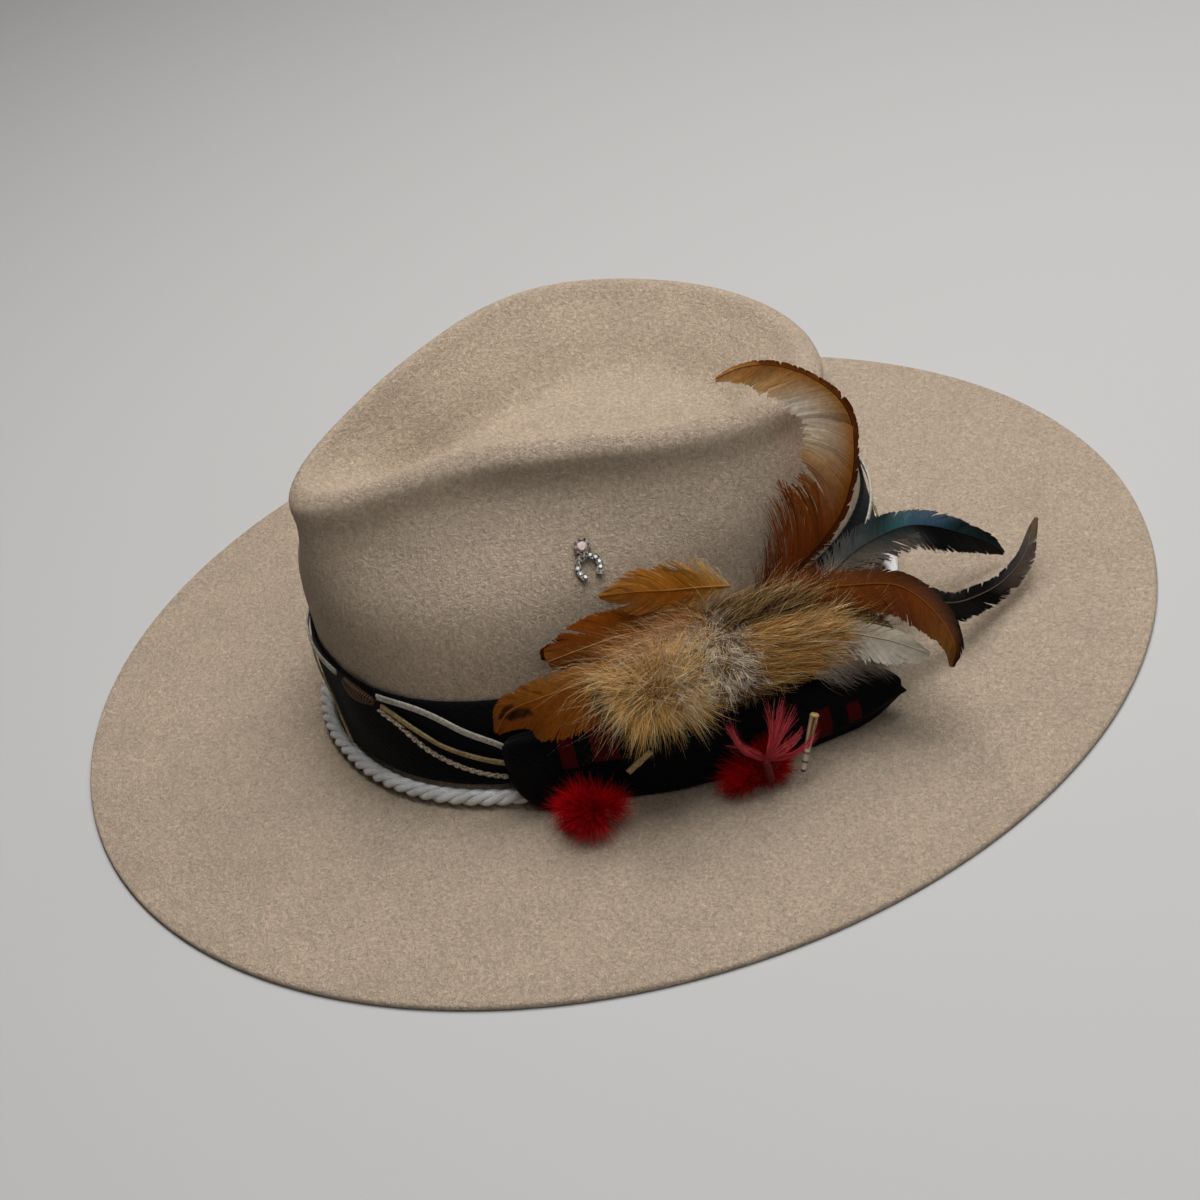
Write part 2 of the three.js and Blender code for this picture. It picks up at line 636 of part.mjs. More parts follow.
function puff({ at, turn, size, locks, length, radius }) {
  const place = new THREE.Matrix4()
    .makeRotationZ(radians(turn))
    .setPosition(...at);
  const ball = new THREE.IcosahedronGeometry(1, 1).scale(...size).applyMatrix4(place);
  const spikes = Array.from({ length: locks }, (_, i) => {
    const height = 0.75 - (1.1 * (i + 0.5)) / locks;
    const round = i * 2.4;
    const flat = Math.sqrt(1 - height * height);
    const unit = new THREE.Vector3(flat * Math.cos(round), flat * Math.sin(round), height);
    const root = unit.clone().multiply(vector(size)).multiplyScalar(0.7).applyMatrix4(place);
    const direction = unit.transformDirection(place);
    return lock(root, direction, length + 2 * scatter(i), radius);
  });
  return union([solid(ball), ...spikes]);
}

// A strip with a flat section from one point to another, bowed sideways and narrowing to its end
function strip({ from, to, face, width, thick, bow = 0, taper = 1 }, grow = 0) {
  const a = vector(from);
  const b = vector(to);
  const along = new THREE.Vector3().subVectors(b, a).normalize();
  const side = new THREE.Vector3().crossVectors(along, vector(face)).normalize();
  const up = new THREE.Vector3().crossVectors(side, along).normalize();
  const steps = bow ? 4 : 1;
  a.addScaledVector(along, -grow);
  b.addScaledVector(along, grow);
  return loft(Array.from({ length: steps + 1 }, (_, i) => {
    const t = i / steps;
    const at = a.clone().lerp(b, t).addScaledVector(side, bow * Math.sin(Math.PI * t));
    const half = (width / 2) * THREE.MathUtils.lerp(1, taper, t) + grow;
    return [[1, 1], [-1, 1], [-1, -1], [1, -1]].map(([s, u]) =>
      at.clone().addScaledVector(side, s * half).addScaledVector(up, u * (thick / 2 + grow)));
  }));
}

function hackle(grow = 0) {
  const strands = HACKLE.tips.map(({ x, y, z, bow }) =>
    solid(strip({
      from: HACKLE.root, to: [x, y, z], face: [1, -0.2, 0.1],
      width: HACKLE.width, thick: HACKLE.thick, bow, taper: 0.4,
    }, grow)));
  const knot = new THREE.IcosahedronGeometry(HACKLE.width + grow, 0).translate(...HACKLE.root);
  return union([solid(knot), ...strands]);
}

function quill(grow = 0) {
  const a = vector(QUILL.from);
  const b = vector(QUILL.to);
  const length = a.distanceTo(b) + 2 * grow;
  const shaft = new THREE.CylinderGeometry(QUILL.thin + grow, QUILL.thick + grow, length, QUILL.sides);
  const along = b.clone().sub(a).normalize();
  shaft.applyQuaternion(new THREE.Quaternion().setFromUnitVectors(new THREE.Vector3(0, 1, 0), along));
  return shaft.translate(...a.lerp(b, 0.5).toArray());
}

// The pin, built lying on z = 0 with its stone at the origin and its legs towards -Y

function cutStone({ girdle, table, below, above, facets }) {
  const profile = [[0, 0], [0.8 * girdle, 0], [girdle, below], [table, below + above], [0, below + above]];
  const stone = new THREE.LatheGeometry(profile.map(([x, y]) => new THREE.Vector2(x, y)), facets);
  return stone.rotateX(Math.PI / 2);
}

function horseshoe() {
  const { arc, arm, legLength, legTurn } = PIN;
  const inside = arc - arm;
  const outline = new THREE.Shape();
  const legEnd = (radius) => [radius * Math.cos(legTurn) - legLength * Math.sin(legTurn),
    -radius * Math.sin(legTurn) - legLength * Math.cos(legTurn)];
  const [outX, outY] = legEnd(arc);
  const [inX, inY] = legEnd(inside);
  outline.moveTo(outX, outY);
  outline.lineTo(arc * Math.cos(legTurn), -arc * Math.sin(legTurn));
  outline.absarc(0, 0, arc, -legTurn, Math.PI + legTurn, false);
  outline.lineTo(-outX, outY);
  outline.lineTo(-inX, inY);
  outline.absarc(0, 0, inside, Math.PI + legTurn, -legTurn, true);
  outline.lineTo(inX, inY);
  outline.closePath();
  const plate = new THREE.ExtrudeGeometry(outline, { depth: PIN.plate, bevelEnabled: false, curveSegments: 7 });
  return plate.rotateZ(PIN.lean).translate(PIN.aside, -PIN.drop, 0);
}

function pinSetting() {
  const { cup, claws, plate, stone } = PIN;
  const base = new THREE.CylinderGeometry(cup.radius, cup.radius * 0.8, plate, 12).rotateX(Math.PI / 2);
  base.translate(0, 0, plate / 2);
  const spikes = Array.from({ length: claws.count }, (_, i) => {
    const turn = (i * 2 * Math.PI) / claws.count + 0.3;
    const claw = new THREE.CylinderGeometry(claws.radius * 0.8, claws.radius, plate + cup.height, 5);
    claw.rotateX(Math.PI / 2).translate(0, 0, (plate + cup.height) / 2);
    const out = stone.girdle + claws.radius + GAP;
    return solid(claw.translate(out * Math.cos(turn), out * Math.sin(turn), 0));
  });
  return union([solid(horseshoe()), solid(base), ...spikes]);
}

function crystalPlace(degrees) {
  const radius = PIN.arc - PIN.arm / 2;
  const turn = radians(degrees) + PIN.lean;
  return [radius * Math.cos(turn) + PIN.aside, radius * Math.sin(turn) - PIN.drop, PIN.plate + 0.1];
}

// The matrix that sets the pin on the crown, lifted clear of the felt
function pinPlace() {
  const seat = vector(PIN.seat);
  const down = vector(PIN.legs).sub(seat).normalize();
  const sideways = new THREE.Vector3().crossVectors(down, new THREE.Vector3(0.74, -0.23, 0.63)).normalize();
  const out = new THREE.Vector3().crossVectors(sideways, down);
  const across = sideways.clone().negate();
  return new THREE.Matrix4()
    .makeBasis(across, down.clone().negate(), out)
    .setPosition(seat.addScaledVector(out, PIN.lift));
}

function post(radius) {
  const { clutch, clutchDepth, sides } = PIN.post;
  const inside = -PIN.lift - FELT - 0.8;
  const length = -GAP - inside;
  const shaft = new THREE.CylinderGeometry(radius, radius, length, sides).rotateX(Math.PI / 2);
  shaft.translate(0, 0, inside + length / 2);
  const disc = new THREE.CylinderGeometry(clutch, clutch, clutchDepth, sides).rotateX(Math.PI / 2);
  disc.translate(0, 0, inside - clutchDepth / 2 + 0.1);
  return { shaft, disc };
}

// The assembly

const hat = new THREE.Group();

function add(name, geometry, colour, roughness, metalness = 0, parent = hat) {
  const mesh = new THREE.Mesh(geometry, new THREE.MeshStandardMaterial({ color: colour, roughness, metalness }));
  mesh.name = name;
  parent.add(mesh);
  return mesh;
}

const pin = new THREE.Group();
pinPlace().decompose(pin.position, pin.quaternion, pin.scale);
hat.add(pin);
pin.updateMatrixWorld(true);
const postHole = solid(post(PIN.post.hole).shaft.clone().scale(1, 1, 1.4).applyMatrix4(pinPlace()));

add("felt_body", geometryOf(largest(solid(feltBody()).subtract(postHole))), "#ab9b8b", 0.95);
add("hat_band", hatBand(), "#0d0e12", 0.85);
add("rope_trim", ropeTrim(), "#c9cbc8", 0.4);
add("white_lace", lace(WHITE_LACE), "#b9b7ae", 0.6);
add("cream_lace", lace(CREAM_LACE), "#a4936a", 0.6);
add("twisted_lace", lace(TWISTED_LACE), "#7d6a55", 0.7);
add("side_lace", lace(SIDE_LACE), "#a4936a", 0.6);
add("lace_wrap", laceWrap(), "#4a3020", 0.8);
add("cloth_bow", clothBow(), "#0b0c10", 0.8);

// Feathers are fitted one over the other: each gives way to those before it
const laid = [];
for (const [name, feather] of Object.entries(FEATHERS)) {
  const fitted = without(solid(vane(feather)), laid);
  add(name, geometryOf(fitted), feather.colour, 0.55);
  laid.push(solid(vane(feather, GAP)));
}

const bowRoom = solid(clothBow(GAP));
const quillRoom = solid(quill(GAP));
const hackleRoom = hackle(GAP);
const endRoom = solid(strip(LACE_END, GAP));
const brimTop = FELT + GAP;
for (const [name, row] of Object.entries(PUFFS)) {
  const fluff = without(puff(row).trimByPlane([0, 0, 1], brimTop), [bowRoom, quillRoom, hackleRoom]);
  add(name, geometryOf(fluff), "#a3121c", 0.9);
}
const fur = union([solid(furCore()), ...furLocks()]);
const furFitted = without(fur, [bowRoom, quillRoom, hackleRoom, endRoom, ...laid]);
add("fur_tuft", geometryOf(furFitted), "#9c8468", 0.9);
add("red_hackle", geometryOf(without(hackle(), [bowRoom, quillRoom])), "#a81a2a", 0.7);
add("striped_quill", quill(), "#a89a78", 0.5);
add("lace_end", strip(LACE_END), "#a4936a", 0.6);

add("pin_setting", geometryOf(pinSetting()), "#5b5750", 0.35, 1, pin);
const stone = add("pin_stone", cutStone(PIN.stone), "#d9b3b0", 0.1, 0, pin);
stone.position.z = PIN.plate + 0.1;
PIN.crystal.places.forEach((degrees, i) => {
  const { girdle, table, height, facets } = PIN.crystal;
  const shape = cutStone({ girdle, table, below: height / 2, above: height / 2, facets });
  add(`crystal_${i + 1}`, shape, "#dfe3e6", 0.05, 0, pin).position.set(...crystalPlace(degrees));
});
const { shaft, disc } = post(PIN.post.radius);
add("pin_post", geometryOf(solid(shaft).add(solid(disc))), "#8c8c88", 0.4, 1, pin);

export default hat;
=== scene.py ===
"""A felt rancher hat with a cloth band, a rope and a feather and fur trim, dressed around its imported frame.

Lengths in the tables are millimetres and angles degrees, measured from the front of the hat towards +X.
"""

import math

import bmesh
import bpy
import numpy as np
from bpy.props import FloatProperty, FloatVectorProperty, IntProperty, PointerProperty
from mathutils import Matrix, Vector


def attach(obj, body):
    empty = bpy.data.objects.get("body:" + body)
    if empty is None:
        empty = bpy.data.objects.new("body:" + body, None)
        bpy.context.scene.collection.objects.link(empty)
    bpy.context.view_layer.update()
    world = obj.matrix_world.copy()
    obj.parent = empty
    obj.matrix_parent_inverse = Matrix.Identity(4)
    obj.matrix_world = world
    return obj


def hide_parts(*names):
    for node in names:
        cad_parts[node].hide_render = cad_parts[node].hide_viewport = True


bl_info = {
    "name": "Rancher hat",
    "version": (1, 0, 0),
    "blender": (4, 5, 0),
    "location": "3D View > Sidebar > Hat",
    "description": "Builds a felt rancher hat with its band, rope, laces, feathers, fur and pin",
    "category": "Object",
}

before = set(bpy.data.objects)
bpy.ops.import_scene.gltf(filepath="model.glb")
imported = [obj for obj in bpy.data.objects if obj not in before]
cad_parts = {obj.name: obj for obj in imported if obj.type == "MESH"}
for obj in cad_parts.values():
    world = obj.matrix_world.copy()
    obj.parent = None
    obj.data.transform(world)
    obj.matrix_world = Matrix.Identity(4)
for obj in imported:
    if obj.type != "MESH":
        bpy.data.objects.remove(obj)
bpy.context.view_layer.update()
MM = 0.001
TURN = 2 * math.pi

# Sizes of the felt and what lies round the crown; CORNER has each point's way out from the head, and height
FELT = 2.3
GAP = 0.3
BRIM = (195.0, 196.0)
BRIM_EDGE = 1.0
HEAD = (85.0, 102.0)
HEAD_POWER = 2.2
CORNER = [(6, FELT), (2.2, FELT + 0.55), (0.6, FELT + 2.2), (0, FELT + 6), (-0.6, 24), (-1.2, 40)]
WAIST_Z = 72
SHOULDER_DROP = 15
RIDGE_OUTSIDE = {"share": 0.3, "out": 4.2, "drop": 4.2}
RIDGE_INSIDE = {"share": 0.22, "out": -1, "drop": 0.5}
DENT_SIDE = {"radius": 0.4, "height": 0.42}
DENT_CENTRE = {"z": 86.5, "radius": 0.55, "height": 0.6}
CROWN_SPANS = 14

# The crown's radii and heights every 20 degrees from the front to the back; the other side mirrors them
CROWN = {
    "waist": [100, 96.5, 88.5, 81, 78.5, 81, 87, 93, 98, 99],
    "shoulder": [97.5, 79, 62, 57, 60, 71, 83, 91, 93.5, 94],
    "ridge": [91, 70, 54, 51, 54, 64, 76, 86, 88, 88],
    "ridge_z": [108, 112.5, 115.5, 114.5, 113, 110, 105.5, 99, 96.5, 96],
    "floor": [62, 47, 34, 30, 29.5, 32.5, 41, 50.5, 56, 58],
    "floor_z": [93, 89, 87, 86, 86, 85, 84, 82, 80, 79.5],
}

BAND = {"low": 9.6, "high": 43, "thick": 1.2, "fold": 0.45}
ROPE = {"out": 3.6, "z": 5.9, "radius": 2.8, "lay": 1.18, "ply": 1.04, "steps": 24}
FOLD_ROOM = 0.5
ON_BAND = GAP + BAND["thick"] + FOLD_ROOM + GAP

# Lace routes over the band: angle and height
WHITE_ROUTE = [
    (18, 42), (23, 41.8), (27, 40.8), (31, 38.4), (37, 32.2), (42, 27.5), (46, 22.6), (52, 20), (75, 18),
    (100, 22), (125, 32), (150, 36.5), (185, 38), (230, 37), (275, 36), (320, 37.5), (348, 41), (364.5, 42.6),
]
CREAM_ROUTE = [(18.6, 38.7), (22, 36), (27, 30.8), (31, 26.4), (37, 22.3), (42, 19.6), (49, 16.6)]
TWISTED_ROUTE = [(17.8, 36.8), (22, 32.9), (25, 28.2), (28, 23.8), (33, 19), (38, 15.6), (42, 14), (49, 13)]
SIDE_ROUTE = [
    (2.2, 10.4), (0.2, 16), (-2.6, 25), (-8, 30.5), (-20, 32.5), (-50, 31), (-90, 29), (-135, 27),
    (-180, 24), (-225, 19), (-252, 14),
]
WRAP = {
    "from": 8.5, "to": 16.8, "z_from": 42.4, "z_to": 39.6, "radius": 2.1, "low": 0.5, "flat": 0.75,
    "turns": 15, "thread": 0.48, "inset": 0.25,
}

# The camera, placed as the photograph was taken, and the pixel at which it sees the hat's middle
CAMERA = {"lens": 78, "sensor": 36, "azimuth": 70.18, "elevation": 32.58, "roll": -14.98, "distance": 0.946}
IMAGE = 1200
MIDDLE_PIXEL = (609.9, 629.8)


def linear(code):
    """An sRGB hex colour as linear red, green, blue and alpha."""
    parts = [int(code[i : i + 2], 16) / 255 for i in (1, 3, 5)]
    return tuple(c / 12.92 if c <= 0.04045 else ((c + 0.055) / 1.055) ** 2.4 for c in parts) + (1.0,)


# Curves and surfaces


def through(points, places, tension=None):
    """Points of the smooth curve through the given ones, centripetal or with an even tension."""
    p = np.asarray(points, float)
    p = np.concatenate([[2 * p[0] - p[1]], p, [2 * p[-1] - p[-2]]])
    spans = len(p) - 3
    place = np.clip(np.asarray(places, float), 0, 1) * spans
    i = np.minimum(place.astype(int), spans - 1)
    u = (place - i).reshape(-1, *[1] * (p.ndim - 1))
    a, b, c, d = (p[i + k] for k in range(4))
    if tension is None:
        t0, t1, t2 = (
            np.maximum(np.linalg.norm(y - x, axis=1, keepdims=True), 1e-9) ** 0.5
            for x, y in ((a, b), (b, c), (c, d))
        )
        start = ((b - a) / t0 - (c - a) / (t0 + t1) + (c - b) / t1) * t1
        end = ((c - b) / t1 - (d - b) / (t1 + t2) + (d - c) / t2) * t1
    else:
        start = tension * (c - a)
        end = tension * (d - b)
    v = 1 - u
    return v * v * (1 + 2 * u) * b + u * u * (1 + 2 * v) * c + u * v * v * start - u * u * v * end


def closed_column(half):
    """A column of the crown's table as a smooth closed curve, a function of the angle."""
    y = np.r_[half, half[-2:0:-1]].astype(float)
    slope = np.zeros(len(y))
    for _ in range(40):
        slope = (3 * (np.roll(y, -1) - np.roll(y, 1)) - np.roll(slope, 1) - np.roll(slope, -1)) / 4

    def at(degrees):
        place = (np.asarray(degrees, float) / 360 % 1) * len(y)
        i = np.floor(place).astype(int) % len(y)
        j = (i + 1) % len(y)
        u = place - np.floor(place)
        v = 1 - u
        ends = v * v * (1 + 2 * u) * y[i] + u * u * (1 + 2 * v) * y[j]
        return ends + u * v * v * slope[i] - u * u * v * slope[j]

    return at


crown = {name: closed_column(half) for name, half in CROWN.items()}


def oval(degrees, half_x, half_y, power=2.0):
    """The radius of an oval at each angle."""
    turn = np.radians(degrees)
    x = np.abs(np.sin(turn) / half_x) ** power
    y = np.abs(np.cos(turn) / half_y) ** power
    return (x + y) ** (-1 / power)


def head_line(degrees):
    """The radius of the crown's base, an oval like a head, at each angle."""
    return oval(degrees, *HEAD, HEAD_POWER)


def polar(degrees, radius, z):
    """Points from angles, radii and heights."""
    turn = np.radians(degrees)
    x, y, z = np.broadcast_arrays(radius * np.sin(turn), -radius * np.cos(turn), z)
    return np.stack([x, y, z], -1)


def section(degrees):
    """The crown's control radii and heights at each angle, from the brim's corner to the dent's centre."""
    head = head_line(degrees)
    ridge, ridge_z = crown["ridge"](degrees), crown["ridge_z"](degrees)
    shoulder, floor, floor_z = (crown[name](degrees) for name in ("shoulder", "floor", "floor_z"))
    rows = [(head + out, np.full_like(head, z)) for out, z in CORNER]
    rows += [
        (crown["waist"](degrees), np.full_like(head, WAIST_Z)),
        (shoulder, ridge_z - SHOULDER_DROP),
        (
            ridge + RIDGE_OUTSIDE["share"] * (shoulder - ridge) + RIDGE_OUTSIDE["out"],
            ridge_z - RIDGE_OUTSIDE["drop"],
        ),
        (ridge, ridge_z),
        (
            ridge - RIDGE_INSIDE["share"] * (ridge - floor) + RIDGE_INSIDE["out"],
            ridge_z - RIDGE_INSIDE["share"] * (ridge_z - floor_z) - RIDGE_INSIDE["drop"],
        ),
        (
            floor + DENT_SIDE["radius"] * (ridge - floor),
            floor_z + DENT_SIDE["height"] * (ridge_z - floor_z),
        ),
        (floor, floor_z),
        (
            floor * DENT_CENTRE["radius"],
            DENT_CENTRE["z"] + DENT_CENTRE["height"] * (floor_z - DENT_CENTRE["z"]),
        ),
        (0 * head, np.full_like(head, DENT_CENTRE["z"])),
    ]
    return np.array(rows)


def wall_radius(degrees, height):
    """The wall's radius at each angle and each height between the corner and the waist."""
    degrees, height = np.broadcast_arrays(np.asarray(degrees, float), np.asarray(height, float))
    places = np.linspace(len(CORNER) - 3, len(CORNER), 50) / CROWN_SPANS
    curves = through(section(degrees.ravel()), places)
    found = [np.interp(h, curves[:, 1, k], curves[:, 0, k]) for k, h in enumerate(height.ravel())]
    return np.array(found).reshape(degrees.shape)


def unit(vectors):
    """The vectors, each made one long."""
    v = np.asarray(vectors, float)
    return v / np.maximum(np.linalg.norm(v, axis=-1, keepdims=True), 1e-9)


def quads(rings, loop=False, closed=True):
    """The faces between rings of points, and their corners' places in the grid."""
    n, m = rings.shape[:2]
    i = np.arange(n if loop else n - 1)[:, None]
    j = np.arange(m if closed else m - 1)[None, :]
    corners = np.stack(np.broadcast_arrays(i, j, i + 1, j, i + 1, j + 1, i, j + 1), -1).reshape(-1, 4, 2)
    return (corners[..., 0] % n) * m + corners[..., 1] % m, corners


# Pieces


def in_scene(name, data):
    """A new object in the scene, with its data."""
    made = bpy.data.objects.new(name, data)
    bpy.context.scene.collection.objects.link(made)
    return made


def new_piece(name, points, faces, material, slot, uv=None, **attributes):
    """A smooth mesh piece from points in millimetres, riding on the hat."""
    mesh = bpy.data.meshes.new(name)
    mesh.from_pydata((np.asarray(points).reshape(-1, 3) * MM).tolist(), [], [list(f) for f in faces])
    if uv is not None:
        layer = mesh.uv_layers.new(name="cloth")
        layer.data.foreach_set("uv", np.asarray(uv, np.float32).ravel())
    for key, values in attributes.items():
        store(mesh, key, values)
    turn_outwards(mesh)
    mesh.polygons.foreach_set("use_smooth", np.ones(len(mesh.polygons), bool))
    mesh.materials.append(material)
    return settle(in_scene(name, mesh))


def settle(piece):
    """Lets a piece ride on the hat."""
    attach(piece, "root")
    return piece


def store(mesh, key, values):
    """Stores one number or one vector for each point of a mesh."""
    values = np.asarray(values, np.float32)
    kind = "FLOAT" if values.ndim == 1 else "FLOAT_VECTOR"
    field = "value" if values.ndim == 1 else "vector"
    mesh.attributes.new(key, kind, "POINT").data.foreach_set(field, values.ravel())


def turn_outwards(mesh):
    """Turns the faces of closed shells outwards."""
    work = bmesh.new()
    work.from_mesh(mesh)
    bmesh.ops.recalc_face_normals(work, faces=work.faces)
    work.to_mesh(mesh)
    work.free()


def grown(piece, tree, values, keep=()):
    """Runs a Geometry Nodes tree on a piece and leaves the plain mesh that it makes."""
    modifier = piece.modifiers.new("grow", "NODES")
    modifier.node_group = tree
    sockets = {s.name: s.identifier for s in tree.interface.items_tree if s.in_out == "INPUT"}
    for name, value in values.items():
        modifier[sockets[name]] = value
    evaluated = piece.evaluated_get(bpy.context.evaluated_depsgraph_get())
    mesh = bpy.data.meshes.new_from_object(evaluated)
    piece.modifiers.remove(modifier)
    mesh.materials.clear()
    mesh.materials.append(values["Material"])
    mesh.polygons.foreach_set("material_index", np.zeros(len(mesh.polygons), np.int32))
    piece.data = mesh
    mesh.name = piece.name
    own = [a.name for a in mesh.attributes if not a.is_internal and not a.is_required]
    for name in own:
        if name not in keep and name not in ("sharp_face", "sharp_edge", "material_index"):
            mesh.attributes.remove(mesh.attributes[name])
    return piece


def tube(path, radii, sides, flat=1.0, up=(0, 0, 1)):
    """Rings round a path; flat is the section's height over its width, measured along up."""
    path = np.asarray(path, float)
    along = unit(np.gradient(path, axis=0))
    side = unit(np.cross(along, np.broadcast_to(np.asarray(up, float), path.shape)))
    rise = unit(np.cross(side, along))
    turn = (np.arange(sides) + 0.5) * TURN / sides
    radii = np.broadcast_to(np.asarray(radii, float), len(path))[:, None, None]
    wide, high = np.cos(turn)[None, :, None], np.sin(turn)[None, :, None]
    return path[:, None] + radii * (wide * side[:, None] + flat * high * rise[:, None])


def capped(rings):
    """The faces of an open run of rings, closed by one face at each end."""
    faces, corners = quads(rings)
    n, m = rings.shape[:2]
    ends = [list(range(m)), list(range((n - 1) * m, n * m))]
    return [list(f) for f in faces] + ends, corners


# Materials

MATH = "ShaderNodeMath"
VECTOR = "ShaderNodeVectorMath"
NOISE = "ShaderNodeTexNoise"
RANGE = "ShaderNodeMapRange"
MIX = "ShaderNodeMix"
BUMP = "ShaderNodeBump"
READ = "ShaderNodeAttribute"
PLACE = "ShaderNodeTexCoord"
WAVE = "ShaderNodeTexWave"
SURFACE = "Principled BSDF"
COLOURS = {"data_type": "RGBA", "out": 2}


def per(size):
    """A texture scale in metres from the size of its pattern in millimetres."""
    return 1000 / size


def add(tree, kind, inputs=(), out=0, **settings):
    """Adds a node with its settings, sets or links its inputs, and gives one of its outputs."""
    made = tree.nodes.new(kind)
    for name, value in settings.items():
        setattr(made, name, value)
    for key, value in inputs.items() if isinstance(inputs, dict) else enumerate(inputs):
        if isinstance(value, bpy.types.NodeSocket):
            tree.links.new(value, made.inputs[key])
        else:
            made.inputs[key].default_value = value
    return made.outputs[out] if made.outputs else None


def new_material(name, **sockets):
    """A material and its tree, with one surface whose sockets are named with _ for spaces."""
    material = bpy.data.materials.new(name)
    material.use_nodes = True
    tree = material.node_tree
    for key, value in sockets.items():
        tree.nodes[SURFACE].inputs[key.replace("_", " ")].default_value = value
    return material, tree


def dressed(material, colour, height=None, depth=0.0, strength=1.0):
    """The material with its surface's colour, and with bumps of so many millimetres from a height."""
    tree = material.node_tree
    surface = tree.nodes[SURFACE].inputs
    tree.links.new(colour, surface["Base Color"])
    if height is not None:
        bump = add(tree, BUMP, {"Height": height, "Distance": depth * MM, "Strength": strength})
        tree.links.new(bump, surface["Normal"])
    return material


def wool_felt(colour):
    """Brushed wool felt: matt, with a short tangled nap that mottles it and takes a soft light at edges.

    The nap is drawn coarser than real wool fibres, so that it shows.
    """
    material, tree = new_material(
        "brushed wool felt", Roughness=0.95, Sheen_Weight=0.25, Sheen_Roughness=0.6,
        Sheen_Tint=linear("#efe2d4"), Specular_IOR_Level=0.12,
    )
    place = add(tree, PLACE, out="Object")
    grain = add(tree, NOISE, {"Vector": place, "Scale": per(1.5), "Detail": 4.0, "Roughness": 0.7})
    tangle = {"Vector": place, "Scale": per(1.0), "Detail": 3.0, "Roughness": 0.6, "Distortion": 2.2}
    fibre = add(tree, NOISE, tangle)
    cloud = add(tree, NOISE, {"Vector": place, "Scale": per(26), "Detail": 3.0})
    share = add(tree, MATH, (fibre, 0.5), operation="MULTIPLY")
    nap = add(tree, MATH, (grain, 0.5, share), operation="MULTIPLY_ADD")
    spread = add(tree, RANGE, (nap, 0.38, 0.62, 0.68, 1.3))
    patchy = add(tree, RANGE, (cloud, 0.35, 0.65, 0.95, 1.03))
    tone = add(tree, MATH, (spread, patchy), operation="MULTIPLY")
    shade = add(tree, VECTOR, {0: tuple(colour[:3]), "Scale": tone}, operation="SCALE")
    return dressed(material, shade, nap, 3.4)


# dark is the cloth's own colour; light is a painted highlight that the threads' tops take
def woven_cloth(name, thread, pattern=None, dark="#050608", light="#101218"):
    """Plain woven wool and cotton: dull, with crossing threads that have a faint painted highlight on their
    tops.

    Its threads are drawn coarser than real ones, so that they show.
    """
    material, tree = new_material(
        name, Roughness=0.9, Sheen_Weight=0.04, Sheen_Roughness=0.4, Specular_IOR_Level=0.12
    )
    uv = add(tree, "ShaderNodeUVMap", uv_map="cloth")
    warp, weft = (
        add(
            tree, WAVE, {"Vector": uv, "Scale": per(size) / TURN, "Distortion": uneven}, out="Fac",
            wave_type="BANDS", bands_direction=direction,
        )
        for size, uneven, direction in ((thread, 0.4, "DIAGONAL"), (0.7 * thread, 0.6, "Y"))
    )
    weave = add(tree, MATH, (warp, weft), operation="MULTIPLY")
    place = add(tree, PLACE, out="Object")
    fuzz = add(tree, NOISE, {"Vector": place, "Scale": per(0.8), "Detail": 3.0})
    height = add(tree, MATH, (fuzz, 0.6, weave), operation="MULTIPLY_ADD")
    # Painted highlight: the higher the weave, the nearer its colour comes to the light colour
    tops = add(tree, RANGE, (height, 0.2, 1.3))
    ground = add(tree, MIX, {0: tops, 6: linear(dark), 7: linear(light)}, **COLOURS)
    return dressed(material, pattern(tree, ground) if pattern else ground, height, 0.2, 0.5)


# The threads that show round a ply of satin cord, and how far they turn in a metre of it, in radians
THREADS = 14.0
THREAD_TWIST = 2200.0


def satin_cord():
    """Satin cord: each ply is a bundle of shiny threads, with a silvery gloss and dark lines of painted shade
    between them.

    The threads are fewer and thicker than real ones, so that they show.
    """
    material, tree = new_material(
        "twisted satin cord", Roughness=0.3, Sheen_Weight=0.6, Specular_IOR_Level=0.8
    )
    turn = add(tree, READ, out="Vector", attribute_name="turn")
    parts = add(tree, "ShaderNodeSeparateXYZ", (turn,)).node.outputs
    angle = add(tree, MATH, (parts["Y"], parts["X"]), operation="ARCTAN2")
    lay = add(tree, MATH, (parts["Z"], THREAD_TWIST), operation="MULTIPLY")
    phase = add(tree, MATH, (angle, THREADS, lay), operation="MULTIPLY_ADD")
    thread = add(tree, RANGE, (add(tree, MATH, (phase,), operation="SINE"), -1, 1))
    place = add(tree, PLACE, out="Object")
    stain = add(tree, NOISE, {"Vector": place, "Scale": per(5), "Detail": 3.0})
    worn = add(tree, RANGE, (stain, 0.4, 0.65))
    pale = add(tree, MIX, {0: worn, 6: linear("#ffffff"), 7: linear("#e2e1dc")}, **COLOURS)
    # Painted shade: the grooves between threads are dark grey #8c8b86, and the threads' crowns keep their
    # pale colour
    clear_of_painted_shade = add(tree, RANGE, (thread, 0.0, 0.15))
    colour = add(tree, MIX, {0: clear_of_painted_shade, 6: linear("#8c8b86"), 7: pale}, **COLOURS)
    return dressed(material, colour, thread, 0.1)


def flat_lace(name, colour, edge):
    """Suede or leather lace: a dull pale face with a fine grain whose hollows and worn patches take its
    darker edge colour.
    """
    material, tree = new_material(name, Roughness=0.7, Specular_IOR_Level=0.35)
    place = add(tree, PLACE, out="Object")
    grain = add(tree, NOISE, {"Vector": place, "Scale": per(0.9), "Detail": 4.0, "Roughness": 0.7})
    worn = add(tree, NOISE, {"Vector": place, "Scale": per(5), "Detail": 2.0})
    tops = add(tree, RANGE, (grain, 0.35, 0.65))
    face = add(tree, MIX, {0: tops, 6: linear(edge), 7: linear(colour)}, **COLOURS)
    shade = add(tree, MIX, {0: add(tree, RANGE, (worn, 0.5, 0.8)), 6: face, 7: linear(edge)}, **COLOURS)
    return dressed(material, shade, grain, 0.15, 0.6)


